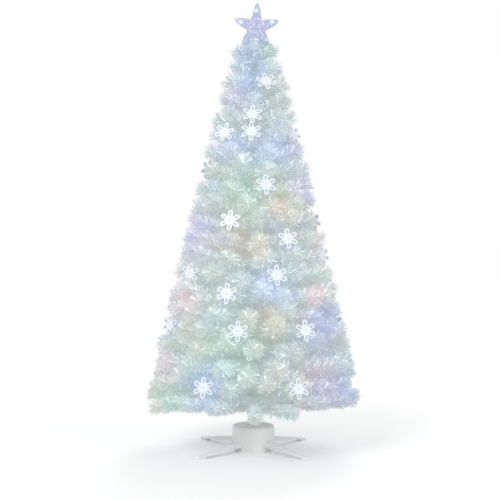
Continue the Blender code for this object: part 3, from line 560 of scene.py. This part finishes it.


# a ring of needles round +X, leaning forward by about the given angle; the upper ones
# are a bit paler and have more of the streaks: painted light and painted highlights from above
def buildWhorl(lean, count, scale, streakShare, palest):
    bm = newFoliage()
    for place in range(count):
        around = math.tau * (place + chance.uniform(-brushLook["uneven"], brushLook["uneven"])) / count
        upward = math.cos(around)
        if chance.random() < streakShare * (1 + brushLook["upperStreaks"] * upward):
            needle = chance.choice(streaks)
        else:
            # painted light: needles that face up are paler
            byChance, byHeight = brushLook["paleShares"]
            pale = palest * (byChance * chance.random() + byHeight * (1 + upward))
            needle = needles[min(len(needles) - 1, int(pale * len(needles)))]
        forward = math.radians(lean + chance.uniform(-1, 1) * brushLook["leanSpread"])
        roll = Matrix.Rotation(chance.uniform(0, math.pi), 4, "Z")
        turn = Matrix.Rotation(around, 4, "X") @ Matrix.Rotation(forward, 4, "Y")
        along = Matrix.Translation((chance.uniform(-0.5, 0.5) * brushLook["step"], 0, 0))
        stamp(bm, needle, along @ turn @ roll @ Matrix.Scale(scale, 4))
    return toMesh("whorl", bm)


pools = {
    name: [buildWhorl(*settings) for _ in range(count)]
    for name, (count, *settings) in brushLook["pools"].items()
}


# one brush of a length: needles all along the wire, densest in its outer part; under a
# snowflake they stand square to the wire, as a collar behind it
def buildBrush(length, droop, girth, collar=False):
    bm = newFoliage()
    reach = brushLook["start"]
    while reach < length - brushLook["collarGap" if collar else "tipGap"]:
        share = reach / length
        dense = length - reach < brushLook["denseRun"]
        nearTip = 0 if collar else max(0.0, 1 - (length - reach) / brushLook["tipRun"])
        square = reach < brushLook["rootRun"] or (collar and length - reach < brushLook["collarRun"])
        pool = "tip" if nearTip > chance.random() else "outer" if dense else "inner"
        if square:
            pool = "collar" if collar else "root"
        size = girth * chance.uniform(*brushLook["sizes"])
        sink = -droop * share**2
        slope = Matrix.Rotation(math.atan(2 * droop * share / length), 4, "Y")
        spin = Matrix.Rotation(chance.uniform(-1, 1) * math.radians(brushLook["spin"]), 4, "X")
        place = Matrix.Translation((reach, 0, sink)) @ slope @ spin
        stamp(bm, chance.choice(pools[pool]), place @ Matrix.Scale(size, 4))
        step = brushLook["step"] * (1 - brushLook["tipCrowding"] * nearTip)
        reach += step if dense else brushLook["innerStep"]
    return toMesh("brush", bm)


# a small ball at a wire's or a fibre's end, in the piece's second material
def addEnd(bm, radius, place):
    end = bmesh.ops.create_icosphere(bm, subdivisions=1, radius=radius, matrix=place)["verts"]
    for vert in end:
        for face in vert.link_faces:
            face.material_index = 1


def buildWire(length, droop):
    bm = bmesh.new()
    bmesh.ops.create_cone(
        bm, cap_ends=True, segments=brushLook["wireSides"], depth=length,
        radius1=brushLook["wireRadius"], radius2=brushLook["wireRadius"],
    )
    bmesh.ops.rotate(bm, verts=bm.verts, matrix=Matrix.Rotation(math.pi / 2, 3, "Y"))
    bmesh.ops.translate(bm, verts=bm.verts, vec=(length / 2, 0, 0))
    long = [edge for edge in bm.edges if edge.calc_length() > length / 2]
    bmesh.ops.subdivide_edges(bm, edges=long, cuts=brushLook["wireCuts"], use_grid_fill=False)
    addEnd(bm, brushLook["wireEnd"], Matrix.Translation((length, 0, 0)))
    for vert in bm.verts:
        vert.co.z -= droop * (vert.co.x / length) ** 2
    return toMesh("wire", bm)


# bare light fibres between the needles, each with a bright cut end; they start in the
# given run of the wire, in shares of its length
fibreLook = {
    "perBrush": 6, "length": 0.050, "lengthShares": (0.8, 1.0),
    "radius": 0.0007, "sides": 3, "end": 0.0012, "lean": (38, 16), "runShares": (0.35, 0.86),
}


def buildFibres(length, droop):
    bm = bmesh.new()
    for _ in range(fibreLook["perBrush"]):
        reach = length * chance.uniform(*fibreLook["runShares"])
        forward = fibreLook["lean"][0] + chance.uniform(-1, 1) * fibreLook["lean"][1]
        place = Matrix.Translation((reach, 0, -droop * (reach / length) ** 2))
        place = place @ Matrix.Rotation(chance.uniform(0, math.tau), 4, "X")
        place = place @ Matrix.Rotation(math.radians(forward), 4, "Y")
        long = fibreLook["length"] * chance.uniform(*fibreLook["lengthShares"])
        bmesh.ops.create_cone(
            bm, cap_ends=True, segments=fibreLook["sides"], depth=long,
            radius1=fibreLook["radius"], radius2=fibreLook["radius"],
            matrix=place @ Matrix.Translation((0, 0, long / 2)),
        )
        addEnd(bm, fibreLook["end"], place @ Matrix.Translation((0, 0, long)))
    return toMesh("fibres", bm)


# wound tape that binds a group of rows on, in laps that overlap downwards
bindingLook = {"lap": 0.009, "proud": 0.0006, "band": 0.024, "sides": 24}


def buildBinding(radius, low, high):
    bm = bmesh.new()
    outer = radius + treeShape["binding"]
    laps = round((high - low) / bindingLook["lap"])
    profile = [(radius, low)]
    for lap in range(laps):
        foot = low + (high - low) * lap / laps
        head = low + (high - low) * (lap + 1) / laps
        profile += [(outer + bindingLook["proud"], foot), (outer, head)]
    profile += [(radius, high), (radius, low)]
    spinLine(bm, [bm.verts.new((reach, 0, height)) for reach, height in profile], bindingLook["sides"])
    return toMesh("binding", bm)


# the rows and branches that carry snowflakes, in the order of their nodes
flakePlaces = (
    (1, 13), (1, 16), (4, 8), (4, 11), (4, 13), (4, 0), (6, 11), (7, 8), (7, 11), (8, 13),
    (9, 11), (10, 8), (10, 0), (12, 7), (13, 4), (15, 4), (15, 5), (15, 7), (16, 5), (18, 4),
    (2, 5), (6, 3), (11, 3), (14, 1),
)

flakeLook = {
    "radius": 0.0425, "hub": 0.0110, "tipHalf": 0.0140, "thick": 0.0034,
    "rim": 0.0030, "hubRim": 0.0022, "sunk": 0.0010, "rounding": 2,
    # the light's outline, by distance from its middle and height
    "lens": (
        (0.0046, 0.0), (0.0046, 0.0010), (0.0034, 0.0013),
        (0.0030, 0.0026), (0.0018, 0.0036), (0.0, 0.0040),
    ),
    "lensSides": 16, "lensFoot": 0.0022,
    # bent by up to the first angle, all of it where the branch points aside by the second
    "bend": 36, "bendFrom": 55,
    "standOff": 0.0003,
    # in front, needles of the rows around are cleared in a widening circle
    "clearRows": 3, "clearRadius": 0.036, "clearSpread": 0.7,
}


# a snowflake's frame: it stands on its branch's end, faces along it with +Z, and is bent
# a little towards the tree's front or back, as a hand would turn it to be seen
def flakeFrame(row, branch):
    root = branchFrame(row, branch)
    tip = Matrix.Translation((brushLength(row) + flakeLook["standOff"], 0, 0))
    outward = root.to_3x3() @ Vector((1, 0, 0))
    aside = math.atan2(outward.x, abs(outward.y)) * math.copysign(1, -outward.y)
    bend = max(-1, min(1, aside / math.radians(flakeLook["bendFrom"]))) * math.radians(flakeLook["bend"])
    return root @ tip @ Matrix.Rotation(-bend, 4, "Z") @ Matrix.Rotation(math.pi / 2, 4, "Y")


# takes out the needles that would stand in front of snowflakes
def clearView(mesh, flakes):
    places = numpy.ones((len(mesh.vertices), 4))
    flat = numpy.empty(len(mesh.vertices) * 3)
    mesh.vertices.foreach_get("co", flat)
    places[:, :3] = flat.reshape(-1, 3)
    inFront = numpy.zeros(len(places), dtype=bool)
    for flake in flakes:
        near = places @ numpy.array(flake.inverted()).T
        width = flakeLook["clearRadius"] + near[:, 2] * flakeLook["clearSpread"]
        inFront |= (near[:, 2] > 0) & (numpy.hypot(near[:, 0], near[:, 1]) < width)
    bm = bmesh.new()
    bm.from_mesh(mesh)
    bm.verts.ensure_lookup_table()
    taken = {bm.verts[index] for index in numpy.flatnonzero(inFront)}
    spreading = list(taken)
    while spreading:
        for edge in spreading.pop().link_edges:
            for vert in edge.verts:
                if vert not in taken:
                    taken.add(vert)
                    spreading.append(vert)
    bmesh.ops.delete(bm, geom=list(taken), context="VERTS")
    bm.to_mesh(mesh)
    bm.free()
    return mesh


# one row: its needles, wires and fibres, from a few brushes that its branches share
def addRow(row):
    length = brushLength(row)
    girth = min(1.0, brushLook["girth"][0] + length * brushLook["girth"][1])
    if row < len(brushLook["lowTrim"]):
        girth -= brushLook["lowTrim"][row]
    droops = [droop * length / brushLook["droopLength"] for droop in brushLook["droops"]]
    brushes = [buildBrush(length, droop, girth) for droop in droops]
    collared = buildBrush(length, 0.0, girth, collar=True)
    wires = [buildWire(length, droop) for droop in droops]
    fibres = [buildFibres(length, droop) for droop in droops]
    foliage, wiring, strands = newFoliage(), bmesh.new(), bmesh.new()
    aside, upward = (math.radians(angle) for angle in brushLook["wobble"])
    for branch in range(treeShape["counts"][row]):
        root = branchFrame(row, branch)
        if (row, branch) in flakePlaces:
            brush, wire = collared, wires[0]
        else:
            bent = chance.randrange(len(droops))
            brush, wire = brushes[bent], wires[bent]
            stray = Matrix.Rotation(chance.uniform(-aside, aside), 4, "Z")
            root = root @ (stray @ Matrix.Rotation(chance.uniform(-upward, upward), 4, "Y"))
            stamp(strands, fibres[bent], root @ Matrix.Rotation(chance.uniform(0, math.tau), 4, "X"))
        stamp(foliage, brush, root, strayTint())
        stamp(wiring, wire, root)
    for mesh in [*brushes, *wires, *fibres, collared]:
        bpy.data.meshes.remove(mesh)
    name, body = f"row_{row + 1:02d}", rowBody(row)
    near = flakeLook["clearRows"]
    nearFlakes = [flakeFrame(*flake) for flake in flakePlaces if abs(flake[0] - row) <= near]
    needleMesh = tintFoliage(clearView(toMesh(name, foliage), nearFlakes))
    needlePiece = addPiece(f"{name}_needles", needleMesh, filmMaterial, body)
    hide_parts(rowNode(row))
    wirePiece = addPiece(f"{name}_wires", toMesh(f"{name}_wires", wiring), wireMaterial, body, smooth=40)
    wirePiece.data.materials.append(crimpMaterial)
    strandMesh = clearView(toMesh(f"{name}_fibres", strands), nearFlakes)
    strandPiece = addPiece(f"{name}_fibres", strandMesh, strandMaterial, body)
    strandPiece.data.materials.append(strandEndMaterial)


for row in range(treeShape["rows"]):
    addRow(row)

first = 0
for binding, rows in enumerate(treeShape["bindingRows"], 1):
    low = rowHeight(first) - bindingLook["band"] / 2
    high = rowHeight(first + rows - 1) + bindingLook["band"] / 2
    bindingMesh = buildBinding(poleRadius(first), low, high)
    addPiece(f"binding_{binding}", bindingMesh, tapeMaterial, rowBody(first), smooth=30)
    first += rows
print("branches made")


# leader brushes stand up round the pole's end, under the star
leaderLook = {"height": 1.562, "length": 0.078, "tilt": 74, "brushes": 4, "girth": 0.63}

sprig, sprigWires = newFoliage(), bmesh.new()
for brush in range(leaderLook["brushes"]):
    mesh = buildBrush(leaderLook["length"], 0.0, leaderLook["girth"])
    wire = buildWire(leaderLook["length"], 0.0)
    angle = math.tau / leaderLook["brushes"] * (brush + 0.5)
    root = Matrix.Rotation(angle, 4, "Z")
    root = root @ Matrix.Translation((rootRadius(treeShape["rows"] - 1), 0, leaderLook["height"]))
    root = root @ Matrix.Rotation(math.radians(-leaderLook["tilt"]), 4, "Y")
    stamp(sprig, mesh, root, strayTint())
    stamp(sprigWires, wire, root)
sprigPiece = addPiece("leader_needles", tintFoliage(toMesh("leader", sprig)), filmMaterial, "upper_section")
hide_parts("top_sprig")
sprigWireMesh = toMesh("leaderWires", sprigWires)
wirePiece = addPiece("leader_wires", sprigWireMesh, wireMaterial, "upper_section", smooth=40)
wirePiece.data.materials.append(crimpMaterial)

# tinsel wound round the top of the pole, where no brush hides it
tinselLook = {
    "low": 1.16, "high": 1.588, "step": 0.0075, "whorls": 4,
    # lean, needles, scale, share of streaks, palest share
    "whorl": (30, 27, 0.95, 0.025, 1.0),
}

tinsel = newFoliage()
tinselWhorls = [buildWhorl(*tinselLook["whorl"]) for _ in range(tinselLook["whorls"])]
height = tinselLook["low"]
while height < tinselLook["high"]:
    upright = Matrix.Translation((0, 0, height)) @ Matrix.Rotation(-math.pi / 2, 4, "Y")
    turn = Matrix.Rotation(chance.uniform(0, math.tau), 4, "X")
    stamp(tinsel, chance.choice(tinselWhorls), upright @ turn, strayTint())
    height += tinselLook["step"]
addPiece("pole_tinsel", tintFoliage(toMesh("tinsel", tinsel)), filmMaterial, "upper_section")
print("leader made")


# frosted clear acrylic, edge-lit from its middle: milky white that glows evenly, its
# grain drawn at 2.4 mm so that it shows
acrylicMaterial = newFinish(
    "frostedAcrylic",
    {
        "Roughness": 0.28, "IOR": 1.49, "Coat Weight": 0.2,
        "Emission Color": colour("eef3ff"), "Emission Strength": 0.26,
    },
    "TexNoise", 2.381, ("b8bfc9", "ccd2da"), {"Detail": 2.0}, (0.25, 0.0003),
)

# the sunk middles of the arms and of the hub are the same acrylic, thinner and greyer
sunkMaterial = newFinish(
    "thinAcrylic",
    {"Roughness": 0.35, "IOR": 1.49, "Emission Color": colour("e0eaf2"), "Emission Strength": 0.17},
    "TexNoise", 6.25, ("8e9aa0", "a8b2b8"), {"Detail": 2.0},
)

# epoxy lens of the light in the middle: smooth, and about as pale as the arms' rims
lensMaterial = newFinish(
    "epoxyLens", {"Roughness": 0.12, "Emission Color": colour("f4f7ff")},
    "TexNoise", 6.25, ("b4bac8", "ccd0dc"), glow=(0.3, 0.7, 0.22, 0.34),
)


# sinks each face inside a rim and gives it the piece's second material
def sinkFaces(bm, faces, rim):
    bmesh.ops.inset_individual(
        bm, faces=faces, thickness=rim, depth=-flakeLook["sunk"], use_even_offset=True
    )
    for face in faces:
        face.material_index = 1


# six arms with sunk middles, grown from a hexagonal hub that is sunk too, facing +Z
def buildFlake():
    bm = bmesh.new()
    bmesh.ops.create_circle(bm, cap_ends=True, segments=6, radius=flakeLook["hub"])
    arms = []
    for edge in list(bm.edges):
        outward = ((edge.verts[0].co + edge.verts[1].co) / 2).normalized()
        across = Vector((-outward.y, outward.x, 0))
        grown = bmesh.ops.extrude_edge_only(bm, edges=[edge])["geom"]
        for vert in grown:
            if isinstance(vert, bmesh.types.BMVert):
                side = math.copysign(flakeLook["tipHalf"], vert.co.dot(across))
                vert.co = outward * flakeLook["radius"] + across * side
        arms += [face for face in grown if isinstance(face, bmesh.types.BMFace)]
    bmesh.ops.recalc_face_normals(bm, faces=bm.faces)
    if sum(face.normal.z for face in bm.faces) < 0:
        bmesh.ops.reverse_faces(bm, faces=bm.faces)
    sinkFaces(bm, arms, flakeLook["rim"])
    sinkFaces(bm, [face for face in bm.faces if len(face.verts) == 6], flakeLook["hubRim"])
    bmesh.ops.solidify(bm, geom=bm.faces[:], thickness=-flakeLook["thick"])
    bmesh.ops.recalc_face_normals(bm, faces=bm.faces)
    return toMesh("flake", bm)


# a small dome on a flange, turned round +Z and standing on the hub
def buildLens():
    bm = bmesh.new()
    profile = [bm.verts.new((reach, 0, height)) for reach, height in ((0, 0), *flakeLook["lens"])]
    spinLine(bm, profile, flakeLook["lensSides"])
    bmesh.ops.translate(bm, verts=bm.verts, vec=(0, 0, flakeLook["lensFoot"]))
    return toMesh("lens", bm)


flakeMesh, lensMesh = buildFlake(), buildLens()
for number, (row, branch) in enumerate(flakePlaces, 1):
    flakeCopy, lensCopy = flakeMesh.copy(), lensMesh.copy()
    for mesh in (flakeCopy, lensCopy):
        mesh.transform(flakeFrame(row, branch))
    flake = addPiece(f"flake_{number:02d}", flakeCopy, acrylicMaterial, rowBody(row), smooth=60)
    flake.data.materials.append(sunkMaterial)
    addRounding(flake, flakeLook["rounding"])
    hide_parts(f"snowflake_{number:02d}")
    addPiece(f"flake_{number:02d}_light", lensCopy, lensMaterial, rowBody(row), smooth=60)
print("snowflakes made")


starLook = {
    "centre": (0.003, 0, 1.6960), "radius": 0.0888, "lean": 2.3, "arms": 5, "rounding": 3,
    # how far out the outline's corners are, by their angle from an arm
    "corners": 30, "shares": {0: 1.15, 12: 0.79, 24: 0.50, 36: 0.43}, "topShare": 1.08,
    # insets of the rim with their heights
    "rim": ((0.0030, 0.0045), (0.0040, 0.0025)), "seam": 0.0002,
    "fleck": 6.0,
    "tones": ((0.0, "9a9ec2"), (0.3, "a6abc8"), (0.8, "b4b5cd"), (1.0, "d0d2e4")),
    "paintedEdgeShade": "85808d",
    "spotShare": 0.74, "spotRadius": 0.0135, "spotTone": "c8dcf1",
    "glow": (0.08, 0.22),
}

# glitter-coated moulded plastic: lavender grey, each fleck a shade of its own and drawn
# at 6 mm so that it shows, with painted shade where the surface turns away from the view,
# and a pale patch on each arm where a fibre ends
glitterMaterial = newMaterial(
    "glitterCoat", {"Roughness": 0.38, "Thin Film Thickness": 380.0, "Thin Film IOR": 1.4}
)
place = addNode(glitterMaterial, "TexCoord").outputs["Object"]
flecks = addNode(glitterMaterial, "TexVoronoi", {"Scale": 1000 / starLook["fleck"]}, {"Vector": place})
fleckTone = addNode(glitterMaterial, "SeparateColor", links={0: flecks.outputs["Color"]})
toneRamp = addNode(glitterMaterial, "ValToRGB", links={0: fleckTone.outputs[0]})
for position, _ in starLook["tones"][1:-1]:
    toneRamp.color_ramp.elements.new(position)
for stop, (_, code) in zip(toneRamp.color_ramp.elements, starLook["tones"]):
    stop.color = colour(code)
# painted shade: darker where the surface turns away from the view
turned = addNode(glitterMaterial, "LayerWeight", {"Blend": 0.6})
edgeShadedTone = addNode(
    glitterMaterial, "Mix", {7: colour(starLook["paintedEdgeShade"])},
    {0: turned.outputs["Facing"], 6: toneRamp.outputs["Color"]}, data_type="RGBA",
)
fleckTilt = addNode(
    glitterMaterial, "Bump", {"Strength": 0.4, "Distance": 0.0012}, {"Height": fleckTone.outputs[1]}
)

# the star's plane is folded on the nearest arm, where a place has an offset aside from the
# arm's line and one along it, both from the middle of the patch
fromCentre = addNode(
    glitterMaterial, "VectorMath", {1: starLook["centre"]}, {0: place}, operation="SUBTRACT"
)
axes = addNode(glitterMaterial, "SeparateXYZ", links={0: fromCentre.outputs[0]})
around = addNode(
    glitterMaterial, "Math", links={0: axes.outputs["X"], 1: axes.outputs["Z"]}, operation="ARCTAN2"
)
halfArm = math.pi / starLook["arms"]
folded = addNode(
    glitterMaterial, "Math", {1: halfArm, 2: -halfArm}, {0: around.outputs[0]}, operation="WRAP"
)
flat = addNode(glitterMaterial, "CombineXYZ", links={"X": axes.outputs["X"], "Z": axes.outputs["Z"]})
outward = addNode(glitterMaterial, "VectorMath", links={0: flat.outputs[0]}, operation="LENGTH")
aside = addNode(
    glitterMaterial, "Math", links={0: folded.outputs[0], 1: outward.outputs["Value"]}, operation="MULTIPLY"
)
short = addNode(
    glitterMaterial, "Math", {1: starLook["radius"] * starLook["spotShare"]},
    {0: outward.outputs["Value"]}, operation="SUBTRACT",
)
offset = addNode(glitterMaterial, "CombineXYZ", links={"X": aside.outputs[0], "Y": short.outputs[0]})
away = addNode(glitterMaterial, "VectorMath", links={0: offset.outputs[0]}, operation="LENGTH")
spot = addNode(
    glitterMaterial, "MapRange", {1: starLook["spotRadius"], 2: 0.0}, {0: away.outputs["Value"]},
    interpolation_type="SMOOTHSTEP",
)
spotTone = addNode(
    glitterMaterial, "Mix", {7: colour(starLook["spotTone"])}, {0: spot.outputs[0], 6: edgeShadedTone.outputs[2]},
    data_type="RGBA",
)
spotGlow = addNode(glitterMaterial, "MapRange", dict(zip((3, 4), starLook["glow"])), {0: spot.outputs[0]})
feed(
    glitterMaterial,
    {
        "Base Color": spotTone.outputs[2], "Emission Color": spotTone.outputs[2],
        "Emission Strength": spotGlow.outputs[0], "Normal": fleckTilt.outputs[0],
    },
)


# a half of the star, raised in two steps from its outline and mirrored on to the other side
def buildStar():
    bm = bmesh.new()
    bmesh.ops.create_circle(bm, cap_ends=True, segments=starLook["corners"], radius=starLook["radius"])
    sector = 360 // starLook["arms"]
    for vert in bm.verts:
        turn = round(math.degrees(math.atan2(vert.co.x, vert.co.y))) % 360
        reach = starLook["shares"][min(turn % sector, sector - turn % sector)]
        vert.co *= reach * (starLook["topShare"] if turn == 0 else 1)
    bm.normal_update()
    for thickness, depth in starLook["rim"]:
        face = max(bm.faces, key=lambda face: len(face.verts))
        bmesh.ops.inset_region(bm, faces=[face], thickness=thickness, depth=depth, use_even_offset=True)
    half = bm.verts[:] + bm.edges[:] + bm.faces[:]
    bmesh.ops.mirror(bm, geom=half, axis="Z", merge_dist=starLook["seam"])
    bmesh.ops.recalc_face_normals(bm, faces=bm.faces)
    lean = Matrix.Rotation(math.radians(starLook["lean"]), 4, "Y")
    stand = Matrix.Translation(starLook["centre"]) @ lean @ Matrix.Rotation(math.pi / 2, 4, "X")
    bmesh.ops.transform(bm, matrix=stand, verts=bm.verts)
    return toMesh("star", bm)


star = addPiece("star", buildStar(), glitterMaterial, "star", smooth=60)
addRounding(star, starLook["rounding"])
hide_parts("star_front", "star_back")
print("star made")


# a CAD node takes a material on its own object
def dress(material, *names):
    for name in names:
        nodes[name].data.materials.clear()
        nodes[name].data.materials.append(material)


# moulded ABS: satin white, mottled by handling, with a fine spark-eroded grain that is
# drawn at 1.5 mm so that it shows
absMaterial = newMaterial("mouldedAbs", {"IOR": 1.53})
place = addNode(absMaterial, "TexCoord").outputs["Object"]
grain = addNode(absMaterial, "TexNoise", {"Scale": 1000 / 1.5, "Detail": 3.0}, {"Vector": place})
handling = addNode(absMaterial, "TexNoise", {"Scale": 1000 / 45.45, "Detail": 3.0}, {"Vector": place})
absTone = addNode(
    absMaterial, "Mix", {6: colour("e4e6e4"), 7: colour("f1f2f0")}, {0: handling.outputs["Fac"]},
    data_type="RGBA",
)
absGloss = addNode(absMaterial, "MapRange", {3: 0.34, 4: 0.52}, {0: handling.outputs["Fac"]})
absBump = addNode(
    absMaterial, "Bump", {"Strength": 0.3, "Distance": 0.0002}, {"Height": grain.outputs["Fac"]}
)
feed(
    absMaterial,
    {"Base Color": absTone.outputs[2], "Roughness": absGloss.outputs[0], "Normal": absBump.outputs[0]},
)
dress(absMaterial, "base_housing", "base_plate", "mode_button", "pole_clamp_screw")
dress(absMaterial, "leg_1", "leg_2", "leg_3", "leg_4")

# powder-coated steel tube: white with the orange peel of baked powder
coatMaterial = newFinish(
    "powderCoatedSteel", {"Roughness": 0.38, "Coat Weight": 0.2},
    "TexNoise", 2.2, ("e2e5e5", "eef0ef"), {"Detail": 1.0}, (0.2, 0.0003),
)
dress(coatMaterial, "pole_lower", "pole_middle", "pole_upper")

# sanded clear acrylic: a pale, cloudy cap that the fibres' ends light from below, its
# sanding drawn at 3.3 mm so that it shows
capMaterial = newFinish(
    "sandedAcrylic",
    {"Roughness": 0.35, "IOR": 1.49, "Emission Color": colour("e6ecff"), "Emission Strength": 0.2},
    "TexNoise", 3.333, ("dfe4f2", "f3f5fc"),
)
dress(capMaterial, "star_socket")

# bundled PMMA fibres that carry light: bright lengthwise strands of 1 mm with darker lines
# between them, fifty times as long as they are wide
fibreMaterial = newMaterial(
    "pmmaFibres",
    {"Roughness": 0.15, "IOR": 1.49, "Emission Color": colour("dfe9ff"), "Emission Strength": 0.4},
)
place = addNode(fibreMaterial, "TexCoord")
drawn = addNode(fibreMaterial, "Mapping", {"Scale": (1.0, 1.0, 0.02)}, {"Vector": place.outputs["Object"]})
strands = addNode(fibreMaterial, "TexVoronoi", {"Scale": 1000 / 1.0}, {"Vector": drawn.outputs[0]})
strandTone = addNode(
    fibreMaterial, "Mix", {6: colour("f5f8ff"), 7: colour("b9c4d6")}, {0: strands.outputs["Distance"]},
    data_type="RGBA",
)
feed(fibreMaterial, {"Base Color": strandTone.outputs[2]})
dress(fibreMaterial, "fibre_bundle_lower", "fibre_bundle_middle", "fibre_bundle_upper")

# glass-filled PBT: near-black and dull, with a faint flow mottling
pbtMaterial = newFinish(
    "blackPbt", {"Roughness": 0.5}, "TexNoise", 5.556, ("1b1c1e", "2b2c2f"), {"Detail": 2.0}
)
dress(pbtMaterial, "fan_frame", "fan_rotor", "power_inlet")

# zinc-plated steel: cool grey metal with fine cloudy spangle
zincMaterial = newFinish(
    "zincPlatedSteel", {"Metallic": 1.0, "Roughness": 0.35},
    "TexVoronoi", 3.846, ("b9bdc0", "d6d9da"), factor="Distance",
)
dress(zincMaterial, "wheel_motor", "motor_shaft")

# steatite ceramic: chalky white and dull, its grain drawn at 4.2 mm so that it shows
ceramicMaterial = newFinish(
    "steatiteCeramic", {"Roughness": 0.6}, "TexNoise", 4.167, ("e5e0d5", "f2efe6")
)
dress(ceramicMaterial, "lamp_holder")

# pressed glass of the lamp: warm, over a faceted reflector whose facets carry a painted reflection, bright in
# each one's middle and greyer to its edges
glassMaterial = newFinish(
    "pressedGlass",
    {"Roughness": 0.1, "IOR": 1.52, "Emission Color": colour("fff4e0"), "Emission Strength": 0.6},
    "TexVoronoi", 3.333, ("f4f1e8", "c9cdd0"), factor="Distance",
)
dress(glassMaterial, "lamp")

# colour wheel: dyed polycarbonate in four quarters that tint the light
wheelLook = {"axis": (0.032, 0, 0), "quarters": ("f3cdd0", "c2eccb", "bccbf4", "f2dac0")}

wheelMaterial = newMaterial("dyedPolycarbonate", {"Roughness": 0.12, "IOR": 1.58})
place = addNode(wheelMaterial, "TexCoord")
centred = addNode(
    wheelMaterial, "Mapping", {"Location": tuple(-value for value in wheelLook["axis"])},
    {"Vector": place.outputs["Object"]},
)
sweep = addNode(
    wheelMaterial, "TexGradient", links={"Vector": centred.outputs[0]}, gradient_type="RADIAL"
)
quarters = addNode(wheelMaterial, "ValToRGB", links={0: sweep.outputs["Fac"]})
quarters.color_ramp.interpolation = "CONSTANT"
quarters.color_ramp.elements[1].position = 0.25
for position in (0.5, 0.75):
    quarters.color_ramp.elements.new(position)
for step, code in zip(quarters.color_ramp.elements, wheelLook["quarters"]):
    step.color = colour(code)
feed(wheelMaterial, {"Base Color": quarters.outputs["Color"]})
dress(wheelMaterial, "colour_wheel")

# glass-epoxy board: green solder mask over faint copper tracks, 4.5 mm apart so that they show
boardMaterial = newFinish(
    "solderMask", {"Roughness": 0.3}, "TexWave", 4.488, ("1f5a3a", "3c7f4f"), {"Distortion": 2.0}
)
dress(boardMaterial, "circuit_board")
print("pole and base dressed")


low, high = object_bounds()
shown = [piece for piece in bpy.data.objects if piece.type == "MESH"]
print("triangles", sum(len(face.vertices) - 2 for piece in shown for face in piece.data.polygons))
